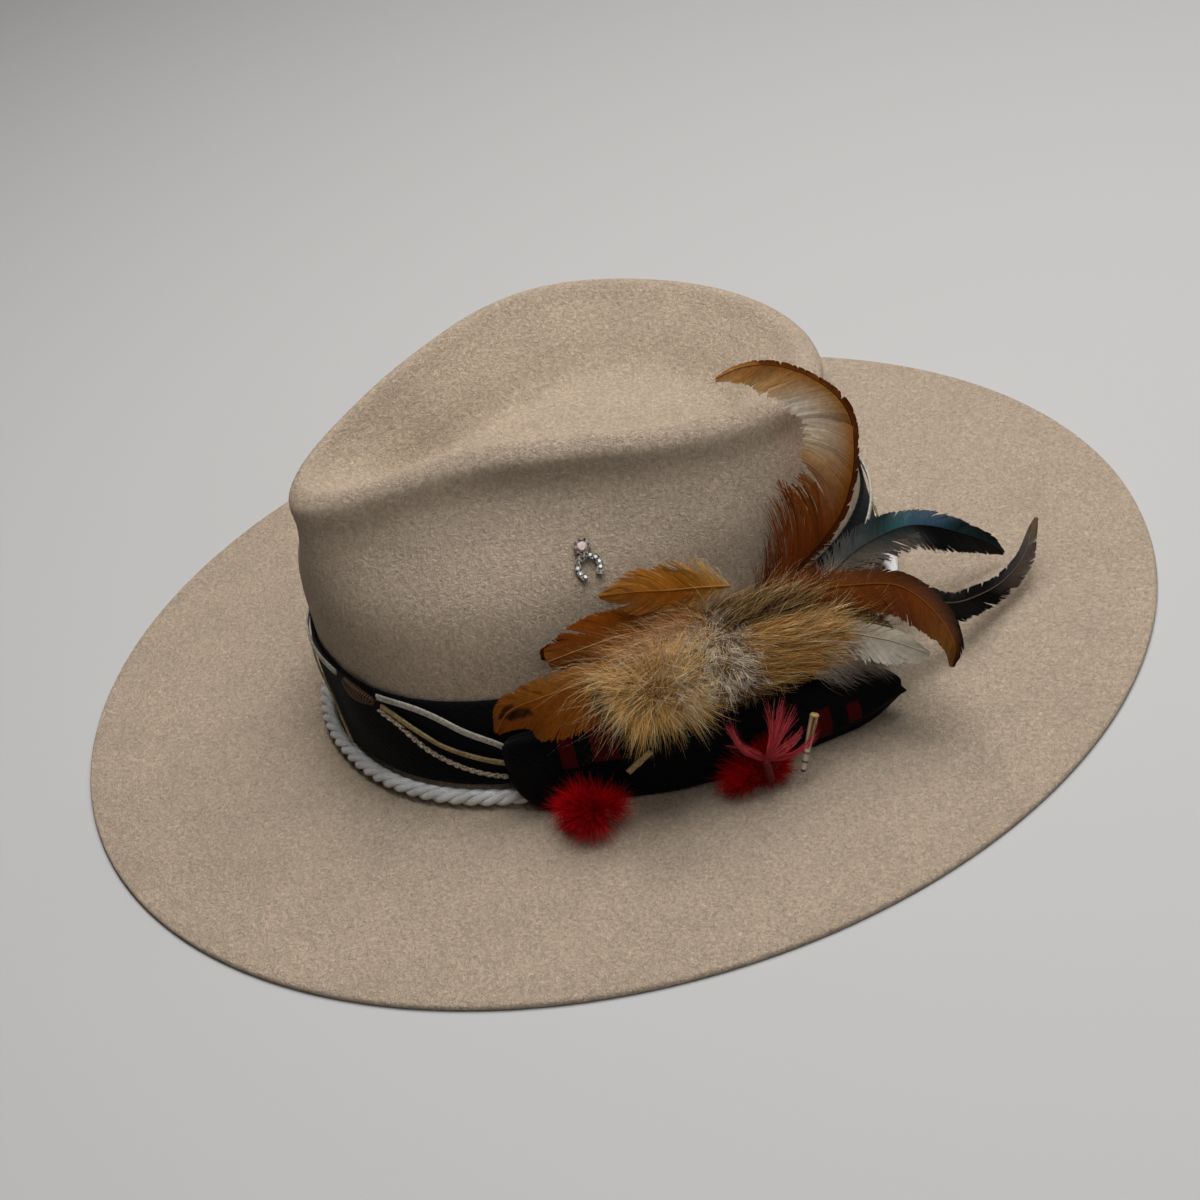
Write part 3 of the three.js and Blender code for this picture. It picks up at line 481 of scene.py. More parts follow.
def waxed_thread(name, dark, light):
    """Waxed thread: dark, a little glossy, with fine fibres along its turns."""
    material, tree = new_material(name, Roughness=0.5, Specular_IOR_Level=0.4)
    place = add(tree, PLACE, out="Object")
    fibre = add(tree, NOISE, {"Vector": place, "Scale": per(0.5), "Detail": 3.0})
    tops = add(tree, RANGE, (fibre, 0.35, 0.65))
    shade = add(tree, MIX, {0: tops, 6: linear(dark), 7: linear(light)}, **COLOURS)
    return dressed(material, shade, fibre, 0.1, 0.6)


# The felt: the rings of its mesh, and the brim's faint wave, with its inner and outer radius and its height
BRIM_RINGS = 21
CROWN_RINGS = 112
CROWN_END = 0.996
BRIM_WAVE = {"from": 112, "to": 190, "fade": 30, "height": 0.25}


def felt_rings():
    """The felt's surface in rings, from the dent over the brim's edge to the middle of the hollow."""
    degrees = np.arange(0, 360, 1.0)
    edge = oval(degrees, *BRIM) - BRIM_EDGE
    start = head_line(degrees) + CORNER[0][0]
    shares = np.linspace(0, 1, BRIM_RINGS, endpoint=False)
    flat = [polar(degrees, edge + share * (start - edge), FELT) for share in shares]
    curves = through(section(degrees), np.linspace(0, CROWN_END, CROWN_RINGS))
    outer = np.array(flat + [polar(degrees, row[0], row[1]) for row in curves])
    outer[..., 2] += brim_lift(outer)
    across = np.roll(outer, -1, 1) - np.roll(outer, 1, 1)
    normal = unit(np.cross(across, np.gradient(outer, axis=0)))
    inner = outer - FELT * normal
    turn = np.linspace(0, math.pi, 7)[1:-1]
    rim = np.array([
        polar(degrees, edge + BRIM_EDGE * math.sin(t), FELT / 2 * (1 + math.cos(t))) for t in turn
    ])
    return np.concatenate([outer[::-1], rim, inner])


def brim_lift(points):
    """How far the brim's faint wave lifts its points; it dies out before the edge and the crown."""
    radius = np.hypot(points[..., 0], points[..., 1])
    turn = np.arctan2(points[..., 0], -points[..., 1])
    inside = np.clip((radius - BRIM_WAVE["from"]) / BRIM_WAVE["fade"], 0, 1)
    outside = np.clip((BRIM_WAVE["to"] - radius) / BRIM_WAVE["fade"], 0, 1)
    on_brim = points[..., 2] < FELT + 0.1
    wave = 1 + np.sin(3 * turn + 0.6) * np.cos(2 * turn)
    return inside * outside * on_brim * BRIM_WAVE["height"] * wave


def make_felt(settings):
    """The crown and brim, with a point that closes the dent and one that closes the hollow."""
    rings = felt_rings()
    faces, _ = quads(rings)
    n, m = rings.shape[:2]
    poles = [[0, 0, DENT_CENTRE["z"]], [0, 0, DENT_CENTRE["z"] - FELT]]
    points = np.concatenate([rings.reshape(-1, 3), poles])
    k = np.arange(m)
    top = np.stack([k, (k + 1) % m, np.full(m, n * m)], -1).tolist()
    last = (n - 1) * m
    under = np.stack([last + (k + 1) % m, last + k, np.full(m, n * m + 1)], -1).tolist()
    piece = new_piece(
        "felt_crown_and_brim", points, faces.tolist() + top + under, wool_felt(settings.felt), "felt"
    )
    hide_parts("felt_body")


# Round the crown: the cloth's thread spacing, and the cylinder that the band's threads are laid out on
THREAD = 0.9
BAND_RADIUS = 93
BAND_ROWS = 22
BAND_LIP = 0.35


def band_folds(degrees, share):
    """How far the cloth stands out in soft slanting folds; share runs from its lower edge to its upper."""
    turn = np.radians(degrees)
    fold = np.sin(5 * turn + 2.6 * share) + 0.6 * np.sin(9 * turn - 3.4 * share + 1)
    fold += 0.5 * np.sin(17 * turn + 5 * share + 2)
    return BAND["fold"] * fold * np.sin(math.pi * share) ** 0.7


def make_band(settings):
    """The cloth band, a closed loop with rounded edges that follows the crown's wall."""
    degrees = np.arange(0, 360, 0.75)
    share = np.linspace(0, 1, BAND_ROWS)
    height = BAND["low"] + share * (BAND["high"] - BAND["low"])
    around, up = np.meshgrid(degrees, height, indexing="ij")
    wall = wall_radius(around, up) + GAP
    lip = BAND_LIP * (1 - np.sin(math.pi * share) ** 0.3)[None, :]
    outside = wall + BAND["thick"] - lip + band_folds(around, share[None, :])
    rings = np.concatenate([polar(around, wall, up), polar(around, outside, up)[:, ::-1]], 1)
    faces, corners = quads(rings, loop=True)
    length = TURN * BAND_RADIUS * MM * np.arange(len(degrees) + 1) / len(degrees)
    girth = np.r_[height, height[::-1], height[:1]] * MM
    uv = np.stack([length[corners[..., 0]], girth[corners[..., 1]]], -1)
    # The band's cloth has woven_cloth's painted highlight on its threads' tops
    piece = new_piece(
        "cloth_band", rings, faces, woven_cloth("black wool cloth", THREAD), "band_cloth", uv=uv
    )
    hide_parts("hat_band")
    middle = polar(degrees, wall[:, 10] + BAND["thick"] / 2, 0)


# Cords of twisted plies
STORE = "GeometryNodeStoreNamedAttribute"
NAMED = "GeometryNodeInputNamedAttribute"


def new_tree(name, sockets):
    """An empty Geometry Nodes tree with its inputs named, and those inputs."""
    tree = bpy.data.node_groups.new(name, "GeometryNodeTree")
    for key, kind in {"Geometry": "Geometry", **sockets, "Material": "Material"}.items():
        tree.interface.new_socket(key, in_out="INPUT", socket_type=f"NodeSocket{kind}")
    tree.interface.new_socket("Geometry", in_out="OUTPUT", socket_type="NodeSocketGeometry")
    return tree, add(tree, "NodeGroupInput").node.outputs


def ply_tree(plies):
    """A tree that lays plies of cord round a path."""
    tree, given = new_tree(f"cord of {plies} plies", {
        "Steps": "Int", "Turns": "Float", "Lay radius": "Float", "Ply radius": "Float", "Sides": "Int",
    })
    line = add(tree, "GeometryNodeMeshToCurve", {"Mesh": given["Geometry"]})
    line = add(tree, "GeometryNodeResampleCurve", {"Curve": line, "Count": given["Steps"]})
    spline = add(tree, "GeometryNodeSplineParameter").node.outputs
    tangent = add(tree, "GeometryNodeInputTangent")
    level = add(tree, VECTOR, (tangent, (0.0, 0.0, 1.0)), operation="CROSS_PRODUCT")
    aside = add(tree, VECTOR, (level,), operation="NORMALIZE")
    rise = add(tree, VECTOR, (aside, tangent), operation="CROSS_PRODUCT")
    whole = add(tree, MATH, (given["Turns"], TURN), operation="MULTIPLY")
    winding = add(tree, MATH, (spline["Factor"], whole), operation="MULTIPLY")
    size = {"Resolution": given["Sides"], "Radius": given["Ply radius"]}
    circle = add(tree, "GeometryNodeCurvePrimitiveCircle", size)
    place = add(tree, "GeometryNodeInputPosition")
    circle = add(
        tree, STORE,
        {"Geometry": circle, "Name": "ring", "Value": add(tree, VECTOR, (place,), operation="NORMALIZE")},
        data_type="FLOAT_VECTOR", domain="POINT",
    )
    joined = add(tree, "GeometryNodeJoinGeometry").node
    for k in range(plies):
        phase = add(tree, MATH, (winding, k * TURN / plies), operation="ADD")
        shifts = []
        for way, wave in ((aside, "COSINE"), (rise, "SINE")):
            share = add(tree, MATH, (phase,), operation=wave)
            reach = add(tree, MATH, (share, given["Lay radius"]), operation="MULTIPLY")
            shifts.append(add(tree, VECTOR, {0: way, "Scale": reach}, operation="SCALE"))
        offset = add(tree, VECTOR, shifts, operation="ADD")
        moved = add(tree, "GeometryNodeSetPosition", {"Geometry": line, "Offset": offset})
        marked = add(
            tree, STORE, {"Geometry": moved, "Name": "run", "Value": spline["Length"]},
            data_type="FLOAT", domain="POINT",
        )
        sweep = {"Curve": marked, "Profile Curve": circle, "Fill Caps": True}
        skin = add(tree, "GeometryNodeCurveToMesh", sweep)
        tree.links.new(skin, joined.inputs["Geometry"])
    ring = add(tree, NAMED, {"Name": "ring"}, data_type="FLOAT_VECTOR")
    run = add(tree, NAMED, {"Name": "run"}, data_type="FLOAT")
    parts = add(tree, "ShaderNodeSeparateXYZ", (ring,)).node.outputs
    turn = add(tree, "ShaderNodeCombineXYZ", (parts["X"], parts["Y"], run))
    marked = add(
        tree, STORE, {"Geometry": joined.outputs["Geometry"], "Name": "turn", "Value": turn},
        data_type="FLOAT_VECTOR", domain="POINT",
    )
    return finished(tree, marked, given["Material"])


def finished(tree, geometry, material):
    """Ends a tree: smooth faces, real geometry and its material."""
    smooth = add(tree, "GeometryNodeSetShadeSmooth", {"Geometry": geometry})
    real = add(tree, "GeometryNodeRealizeInstances", {"Geometry": smooth})
    done = add(tree, "GeometryNodeSetMaterial", {"Geometry": real, "Material": material})
    add(tree, "NodeGroupOutput", {"Geometry": done})
    return tree


def path_piece(name, path, closed):
    """An object that holds a path as a run of edges, for a tree to work on."""
    mesh = bpy.data.meshes.new(name)
    count = len(path)
    edges = [(k, (k + 1) % count) for k in range(count if closed else count - 1)]
    mesh.from_pydata((np.asarray(path) * MM).tolist(), edges, [])
    return in_scene(name, mesh)


def laid_cord(name, path, values, plies, material, closed=False):
    """A cord whose plies wind round a path, as a plain mesh; the radii among its values are millimetres."""
    sizes = {key: value * MM if key.endswith("radius") else value for key, value in values.items()}
    piece = path_piece(name, path, closed)
    return grown(piece, ply_tree(plies), {**sizes, "Material": material}, keep=("turn",))


def make_rope(settings):
    """The three-ply rope in the corner; its plies lie wider and are thicker than ones that just touch."""
    degrees = np.arange(0, 360, 2.0)
    path = polar(degrees, head_line(degrees) + ROPE["out"], ROPE["z"])
    length = float(np.linalg.norm(path - np.roll(path, 1, 0), axis=1).sum())
    turns = round(length * MM / settings.rope_pitch)
    ply = ROPE["radius"] / (1 + 2 / math.sqrt(3))
    values = {
        "Steps": turns * ROPE["steps"], "Turns": float(turns), "Lay radius": ROPE["lay"] * ply,
        "Ply radius": ROPE["ply"] * ply, "Sides": 12,
    }
    piece = laid_cord("satin_rope", path, values, 3, satin_cord(), closed=True)
    settle(piece)
    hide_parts("rope_trim")


LACE_SIDES = 12


def lace_path(route, steps, lift):
    """A lace's middle line on the band and the direction away from the band, at even steps."""
    points = through(route, np.linspace(0, 1, steps))
    degrees, z = points[:, 0], points[:, 1]
    return polar(degrees, wall_radius(degrees, z) + ON_BAND + lift, z), polar(degrees, 1, 0)


def flat_lace_rings(path, away, width, thick, twist):
    """Rings of a flat lace with soft edges that lies against the band and twists a little along itself."""
    along = unit(np.gradient(path, axis=0))
    side = unit(np.cross(along, away))
    away = unit(np.cross(side, along))
    turn = (np.arange(LACE_SIDES) + 0.5) * TURN / LACE_SIDES
    across = np.sign(np.cos(turn)) * np.abs(np.cos(turn)) ** 0.45 * width / 2
    rise = np.sign(np.sin(turn)) * np.abs(np.sin(turn)) ** 0.6 * thick / 2
    wobble = twist * np.sin(np.linspace(0, 9, len(path)))[:, None, None]
    return (
        path[:, None]
        + across[None, :, None] * side[:, None]
        + (rise[None, :, None] + wobble * across[None, :, None]) * away[:, None]
    )


# The flat laces, with the number of sections along each, and the twisted one with its middle above the band
LACES = {
    "white_lace": {
        "route": WHITE_ROUTE, "width": 2.4, "thick": 0.9, "steps": 420, "slot": "white_cord",
        "face": "#cfccc2", "edge": "#8d897e",
    },
    "cream_lace": {
        "route": CREAM_ROUTE, "width": 2.0, "thick": 0.9, "steps": 60, "slot": "cream_cord",
        "face": "#bda777", "edge": "#7c6a44",
    },
    "side_lace": {
        "route": SIDE_ROUTE, "width": 1.3, "thick": 0.8, "steps": 300, "slot": "cream_cord",
        "face": "#bda777", "edge": "#7c6a44",
    },
}
TWIST = 0.08
TWISTED_STEPS = 90
TWISTED_LIFT = 0.7
TWISTED = {"Steps": 260, "Turns": 11.0, "Lay radius": 0.42, "Ply radius": 0.5, "Sides": 8}


def make_laces(settings):
    """The three flat laces over the band, and the brown and white twisted one."""
    for node, lace in LACES.items():
        path, away = lace_path(lace["route"], lace["steps"], lace["thick"] / 2)
        rings = flat_lace_rings(path, away, lace["width"], lace["thick"], TWIST)
        faces, _ = capped(rings)
        leather = flat_lace(node.replace("_", " ") + " cord", lace["face"], lace["edge"])
        piece = new_piece(node + "_cord", rings, faces, leather, lace["slot"])
        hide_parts(node)
    path, _ = lace_path(TWISTED_ROUTE, TWISTED_STEPS, TWISTED_LIFT)
    thread = waxed_thread("brown waxed thread", "#30221a", "#d8c4aa")
    piece = laid_cord("twisted_lace_cord", path, TWISTED, 2, thread)
    settle(piece)
    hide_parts("twisted_lace")


def wrap_points(t, turn, inset=0.0):
    """Points round the gathered laces, at places along the whipping and angles round it."""
    degrees = WRAP["from"] + t * (WRAP["to"] - WRAP["from"])
    z = WRAP["z_from"] + t * (WRAP["z_to"] - WRAP["z_from"])
    radius = WRAP["radius"] * (WRAP["low"] + (1 - WRAP["low"]) * np.sin(math.pi * t)) - inset
    out = ON_BAND + radius * (1 + np.cos(turn)) * WRAP["flat"]
    return polar(degrees, wall_radius(degrees, z) + out, z + radius * np.sin(turn))


def merged(solids):
    """Several capped runs of rings as one set of points and faces."""
    points, faces = [], []
    for rings in solids:
        shift = sum(len(block) for block in points)
        faces += [[k + shift for k in face] for face in capped(rings)[0]]
        points.append(rings.reshape(-1, 3))
    return np.concatenate(points), faces


def make_wrap(settings):
    """The whipping that gathers the laces: one thread wound round their bundle."""
    t = np.linspace(0, 1, WRAP["turns"] * 16 + 1)
    thread = tube(wrap_points(t, TURN * WRAP["turns"] * t), WRAP["thread"], 7)
    core = wrap_points(np.linspace(0, 1, 24)[:, None], np.arange(16) * TURN / 16, WRAP["inset"])
    points, faces = merged([thread, core])
    material = waxed_thread("dark brown waxed thread", "#1e120a", "#54341c")
    piece = new_piece("whipping_thread", points, faces, material, "brown_thread")
    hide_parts("lace_wrap")


# Strands: barbs, fur, fluff. A strip tapers to its tip's share of its width, and waves so often along itself
STRIPS = {
    "barb": {"Segments": 7, "Taper": 3.0, "Tip width": 0.6, "Waves": 1.2},
    "hair": {"Segments": 5, "Taper": 1.6, "Tip width": 0.1, "Waves": 0.9},
    "down": {"Segments": 4, "Taper": 1.5, "Tip width": 0.15, "Waves": 1.2},
    "hackle": {"Segments": 9, "Taper": 2.5, "Tip width": 0.25, "Waves": 1.0},
}


def strand_tree():
    """A tree that grows a thin strip from each point of a mesh, bent and waved as its attributes say."""
    tree, given = new_tree(
        "strands", {"Segments": "Int", "Taper": "Float", "Tip width": "Float", "Waves": "Float"}
    )
    kinds = {"FLOAT_VECTOR": ("way", "face", "bend", "wave"), "FLOAT": ("wide", "phase", "reach")}
    named = {
        name: add(tree, NAMED, {"Name": name}, data_type=kind)
        for kind, names in kinds.items()
        for name in names
    }
    rows = add(tree, MATH, (given["Segments"], 1.0), operation="ADD")
    grid = add(
        tree, "GeometryNodeMeshGrid", {"Size X": 1.0, "Size Y": 1.0, "Vertices X": 2, "Vertices Y": rows}
    )
    parts = add(tree, "ShaderNodeSeparateXYZ", (add(tree, "GeometryNodeInputPosition"),)).node.outputs
    reach = add(tree, MATH, (parts["Y"], 0.5), operation="ADD")
    gone = add(tree, MATH, (reach, given["Taper"]), operation="POWER")
    loss = add(tree, MATH, (1.0, given["Tip width"]), operation="SUBTRACT")
    kept = add(tree, MATH, (1.0, add(tree, MATH, (gone, loss), operation="MULTIPLY")), operation="SUBTRACT")
    across = add(tree, MATH, (parts["X"], kept), operation="MULTIPLY")
    strip = add(
        tree, STORE, {"Geometry": grid, "Name": "reach", "Value": reach},
        data_type="FLOAT", domain="POINT",
    )
    shape = add(tree, "ShaderNodeCombineXYZ", (across, reach))
    strip = add(tree, "GeometryNodeSetPosition", {"Geometry": strip, "Position": shape})
    turned = add(
        tree, "FunctionNodeAxesToRotation", {"Primary Axis": named["way"], "Secondary Axis": named["face"]},
        primary_axis="Y", secondary_axis="Z",
    )
    length = add(tree, VECTOR, (named["way"],), out="Value", operation="LENGTH")
    size = add(tree, "ShaderNodeCombineXYZ", (named["wide"], length, 1.0))
    placed = add(
        tree, "GeometryNodeInstanceOnPoints",
        {"Points": given["Geometry"], "Instance": strip, "Rotation": turned, "Scale": size},
    )
    real = add(tree, "GeometryNodeRealizeInstances", {"Geometry": placed})
    square = add(tree, MATH, (named["reach"], named["reach"]), operation="MULTIPLY")
    bend = add(tree, VECTOR, {0: named["bend"], "Scale": square}, operation="SCALE")
    winding = add(tree, MATH, (given["Waves"], TURN), operation="MULTIPLY")
    phase = add(tree, MATH, (named["reach"], winding, named["phase"]), operation="MULTIPLY_ADD")
    sway = add(tree, MATH, (phase,), operation="SINE")
    swing = add(tree, MATH, (sway, named["reach"]), operation="MULTIPLY")
    wave = add(tree, VECTOR, {0: named["wave"], "Scale": swing}, operation="SCALE")
    offset = add(tree, VECTOR, (bend, wave), operation="ADD")
    moved = add(tree, "GeometryNodeSetPosition", {"Geometry": real, "Offset": offset})
    return finished(tree, moved, given["Material"])


def strands(name, roots, material, kind):
    """One mesh of thin strips of a kind, grown from a table with a row for each strip."""
    mesh = bpy.data.meshes.new(name)
    mesh.from_pydata((roots["start"] * MM).tolist(), [], [])
    for key in ("way", "bend", "wave", "wide"):
        store(mesh, key, roots[key] * MM)
    for key in ("face", "tint", "tint_end", "phase"):
        store(mesh, key, roots[key])
    store(mesh, "mark", roots.get("mark", np.zeros(len(roots["start"]))))
    tree = bpy.data.node_groups.get("strands") or strand_tree()
    values = {**STRIPS[kind], "Material": material}
    return grown(in_scene(name, mesh), tree, values, keep=("reach", "tint", "tint_end", "mark"))


def gathered(tables):
    """Several tables of strips as one."""
    return {key: np.concatenate([table[key] for table in tables]) for key in tables[0]}


def with_solids(piece, solids, tint):
    """Joins solids of their own colour, such as a feather's shaft, into a piece made of strips."""
    points, faces = merged(solids)
    mesh = bpy.data.meshes.new("solid")
    mesh.from_pydata((points * MM).tolist(), [], faces)
    count = len(mesh.vertices)
    for key in ("tint", "tint_end"):
        store(mesh, key, np.broadcast_to(tint, (count, 3)))
    for key in ("reach", "mark"):
        store(mesh, key, np.zeros(count))
    turn_outwards(mesh)
    mesh.polygons.foreach_set("use_smooth", np.ones(len(mesh.polygons), bool))
    work = bmesh.new()
    work.from_mesh(piece.data)
    work.from_mesh(mesh)
    work.to_mesh(piece.data)
    work.free()
    bpy.data.meshes.remove(mesh)


def read_off(places, at, vectors):
    """Vectors at places, from rows of them that stand at known places."""
    return np.stack([np.interp(places, at, vectors[:, k]) for k in range(3)], -1)


def shades(places, rows, column):
    """Colours at places along a shaft from rows of place, near colour and far colour."""
    colours = np.array([linear(row[column])[:3] for row in rows])
    return read_off(places, [row[0] for row in rows], colours)


# Feathers. Rows are a shaft's points and the vane's reach on its two sides, as the solids have them. The
# tints of its sides, one and other, are rows of place, colour near the shaft and colour at the edge. Barbs
# sweep forwards by that share of their reach, bow along the shaft, stand so far apart, lie loose or tidy, and
# are downy up to that place. Notches are side, place and depth, and spots are the stretch that has them
FEATHERS = {
    "sickle_feather": {
        "face": (1, 0, 0.15),
        "rows": [
            (97, 14, 55, 2, 5), (93, 27, 53.5, 3, 12), (88, 39, 54, 3, 18), (86, 50, 57.5, 3, 21),
            (85, 59, 63, 2, 22), (85, 65, 73, 2, 21), (85, 68, 83, 2, 20), (85, 69, 94, 2, 18),
            (85, 66, 104, 2, 15), (85, 60, 113, 1.5, 13), (85, 52, 121, 1.5, 11), (85, 43, 127, 1.5, 9),
            (85, 33, 130, 1, 5), (85, 24, 130, 0.4, 0.8),
        ],
        "one": [
            (0, "#4a1c06", "#5a280a"), (0.5, "#6c3208", "#55260a"), (0.85, "#84480f", "#64300a"),
            (1, "#c89858", "#a06c34"),
        ],
        "other": [
            (0, "#481a06", "#58240a"), (0.26, "#602a0a", "#804418"), (0.38, "#8a4e14", "#d0a878"),
            (0.48, "#b07434", "#f6e4c8"), (0.66, "#c08844", "#fbeed8"), (0.76, "#b87a38", "#e8bc84"),
            (0.88, "#b4743a", "#cc9250"), (1, "#c89458", "#dcaa70"),
        ],
        "quill": ("#3a1a0a", "#52260c"),
        "sweep": 1.1, "down": 0.3, "spacing": 0.3, "loose": 0.5, "bow": 0.35,
        "notches": [(-1, 0.34, 0.5), (-1, 0.41, 0.35), (-1, 0.47, 0.3)],
    },
    "left_upper_feather": {
        "face": (0.85, -0.2, 0.45),
        "rows": [
            (99, 8, 66, 3, 3), (98, -2, 70, 7, 5), (96, -12, 73, 8, 7), (93, -22, 76, 7, 8),
            (89, -33, 78, 0.6, 0.8),
        ],
        "one": [
            (0, "#b89468", "#c8a87c"), (0.08, "#a0702c", "#a87c3c"), (0.3, "#8c5414", "#8c561a"),
            (1, "#8c5620", "#946230"),
        ],
        "other": [
            (0, "#b89468", "#c8a87c"), (0.08, "#9c6a28", "#a87c3c"), (0.3, "#84480f", "#84501a"),
            (1, "#7c4614", "#946230"),
        ],
        "quill": ("#a07038", "#7c4a1c"),
        "sweep": 1.5, "down": 0.35, "spacing": 0.22, "loose": 0.6, "bow": 0.3,
    },
    "left_middle_feather": {
        "face": (0.85, -0.25, 0.4),
        "rows": [
            (99, 0, 58, 3, 4), (97, -14, 60.5, 7, 8), (92, -28, 62, 9, 9), (87, -41, 61, 9, 8),
            (82, -53, 59, 4, 3),
        ],
        "one": [
            (0, "#9c6426", "#8c5216"), (0.5, "#84480f", "#7c400c"), (0.8, "#703a10", "#6a3410"),
            (1, "#7c4618", "#84501f"),
        ],
        "other": [(0, "#9c6426", "#8c5216"), (0.5, "#7c420f", "#6c360c"), (1, "#683410", "#744014")],
        "quill": ("#a8743c", "#b08458"),
        "sweep": 1.2, "down": 0.12, "spacing": 0.22, "loose": 0.2, "bow": 0.3,
        "notches": [(1, 0.86, 0.5), (1, 0.93, 0.4)],
    },
    "left_under_feather": {
        "face": (0.8, -0.45, 0.35),
        "rows": [(88, -28, 54, 3, 3), (84, -38, 56, 6, 5), (80, -47, 58, 6, 5), (77, -53, 59, 2, 1.5)],
        "one": [(0, "#5c220c", "#48160a"), (1, "#4c1a0a", "#3a1006")],
        "other": [(0, "#5c220c", "#48160a"), (1, "#4c1a0a", "#3a1006")],
        "quill": ("#4a1c0a", "#3a1408"),
        "sweep": 1.0, "down": 0.1, "spacing": 0.24, "loose": 0.35, "bow": 0.3,
    },
    "left_lower_feather": {
        "face": (0.85, -0.4, 0.3),
        "rows": [
            (101, -22, 51, 3, 4), (96, -36, 52, 5, 12), (91, -49, 52, 6, 16), (86, -61, 50.5, 6, 16),
            (81, -70, 47.5, 5, 12), (78, -75.5, 40, 0.8, 1.2),
        ],
        "one": [
            (0, "#a06c34", "#985e24"), (0.5, "#8c541a", "#8a5624"), (0.85, "#844c18", "#7e4618"),
            (1, "#7a4416", "#6c3610"),
        ],
        "other": [
            (0, "#9c662c", "#8c521a"), (0.4, "#8c4e16", "#844a14"), (0.75, "#804414", "#7a4012"),
            (1, "#7a4014", "#642c0a"),
        ],
        "quill": ("#9a6830", "#9a5c24"),
        "sweep": 1.05, "down": 0.1, "spacing": 0.22, "loose": 0.2, "bow": 0.35,
        "spots": (0.5, 0.97), "notches": [(1, 0.6, 0.35), (1, 0.78, 0.3)],
    },
    "right_brown_feather": {
        "face": (0.7, -0.2, 0.68),
        "rows": [
            (108, 27, 58, 4, 4), (114, 42, 56, 8, 5), (121, 56, 52, 10, 5), (135, 60, 46, 8, 5),
            (146, 58.5, 39.5, 4, 3), (147.5, 55, 33.5, 0.6, 0.8),
        ],
        "one": [
            (0, "#6c380e", "#5c2c08"), (0.5, "#5a2a06", "#421c04"), (0.8, "#502a08", "#5c3810"),
            (1, "#54340e", "#7c5a30"),
        ],
        "other": [
            (0, "#64340d", "#542a0c"), (0.5, "#542a0a", "#2c1508"), (0.75, "#4c280c", "#140b06"),
            (1, "#402410", "#2a1810"),
        ],
        "quill": ("#6a3410", "#7c4a1c"),
        "sweep": 1.3, "down": 0.15, "spacing": 0.24, "loose": 0.3, "bow": 0.3,
    },
    "right_white_feather": {
        "face": (0.7, -0.2, 0.68),
        "rows": [(112, 28, 45, 4, 3), (121, 37, 43, 7, 4), (131, 46, 40, 8, 4), (139, 53, 35.5, 0.8, 0.8)],
        "one": [(0, "#8c8474", "#9a9284"), (0.5, "#989080", "#aaa294"), (1, "#8c8474", "#989080")],
        "other": [(0, "#8a7e6c", "#968a78"), (1, "#8c8474", "#989080")],
        "quill": ("#a89e8c", "#a09684"),
        "sweep": 1.2, "down": 0.35, "spacing": 0.24, "loose": 0.3, "bow": 0.3,
    },
    "green_feather": {
        "face": (0.65, -0.2, 0.73),
        "rows": [
            (99, 38, 49, 3, 3), (91, 56, 50, 7, 6), (80.5, 77.5, 44, 9, 7), (72, 95, 34, 9, 6),
            (72.5, 108.5, 24.5, 7, 5), (72.5, 120, 14, 4, 3), (72.5, 125, 7, 0.6, 0.8),
        ],
        # The teal and blue tints between places 0.36 and 0.74 are a painted iridescent sheen on the black
        # barbs
        "one": [
            (0, "#4c443a", "#5a5044"), (0.2, "#423e38", "#5a5248"), (0.36, "#242c2c", "#524a40"),
            (0.5, "#15201f", "#3c362f"), (0.6, "#0c0e0e", "#0e0d0c"), (1, "#0a0807", "#0e0a07"),
        ],
        "other": [
            (0, "#4c463c", "#544c42"), (0.2, "#343634", "#2c3030"), (0.38, "#1a2e2c", "#161c1e"),
            (0.48, "#22484a", "#3c4e54"), (0.6, "#304c60", "#4c5664"), (0.74, "#16282a", "#12181c"),
            (1, "#0c0907", "#100b07"),
        ],
        "quill": ("#3a3630", "#0e0c0a"),
        "sweep": 1.5, "down": 0.25, "spacing": 0.22, "loose": 0.4, "bow": 0.3,
        "notches": [
            (1, 0.3, 0.5), (1, 0.36, 0.5), (1, 0.42, 0.3), (1, 0.48, 0.45), (1, 0.55, 0.7), (1, 0.58, 0.7),
        ],
    },
    "black_feather": {
        "face": (0.65, -0.2, 0.73),
        "rows": [
            (105, 44, 43, 3, 3), (104.5, 58.5, 41, 6, 4), (105, 70.5, 33, 7, 5), (104, 82, 23.5, 7, 4),
            (97.5, 97, 15.5, 6, 4), (92, 111.5, 12, 5, 3), (86, 124.5, 13, 4, 2.5),
            (80.5, 132.5, 17, 2, 1.5), (79, 136.5, 20.5, 0.5, 0.6),
        ],
        "one": [
            (0, "#443c33", "#4c443a"), (0.26, "#322c26", "#2c2722"), (0.36, "#0a0908", "#070606"),
            (0.62, "#070606", "#070606"), (0.76, "#382e28", "#4c4038"), (0.92, "#50443a", "#4c4036"),
            (1, "#7c6444", "#6a5436"),
        ],
        "other": [
            (0, "#443c33", "#4c443a"), (0.28, "#2a241f", "#26201b"), (0.38, "#0b0a09", "#080707"),
            (0.72, "#0c0a09", "#0a0807"), (0.9, "#241a14", "#2a1f17"), (1, "#7c6444", "#6a5436"),
        ],
        "quill": ("#3a332c", "#6a5c4e"),
        "sweep": 1.2, "down": 0.12, "spacing": 0.22, "loose": 0.4, "bow": 0.3,
        "notches": [(-1, 0.72, 0.5), (1, 0.72, 0.3)],
    },
}
# A vane's camber, a notch's half length, the chance that a barb starts a new tuft, the neat tip's length, and
# the width from which a vane is as ragged as its looseness says
CAMBER = 0.1
NOTCH = 0.016
TUFTS = 0.1
NEAT_TIP = 0.12
FULL_WIDTH = 8


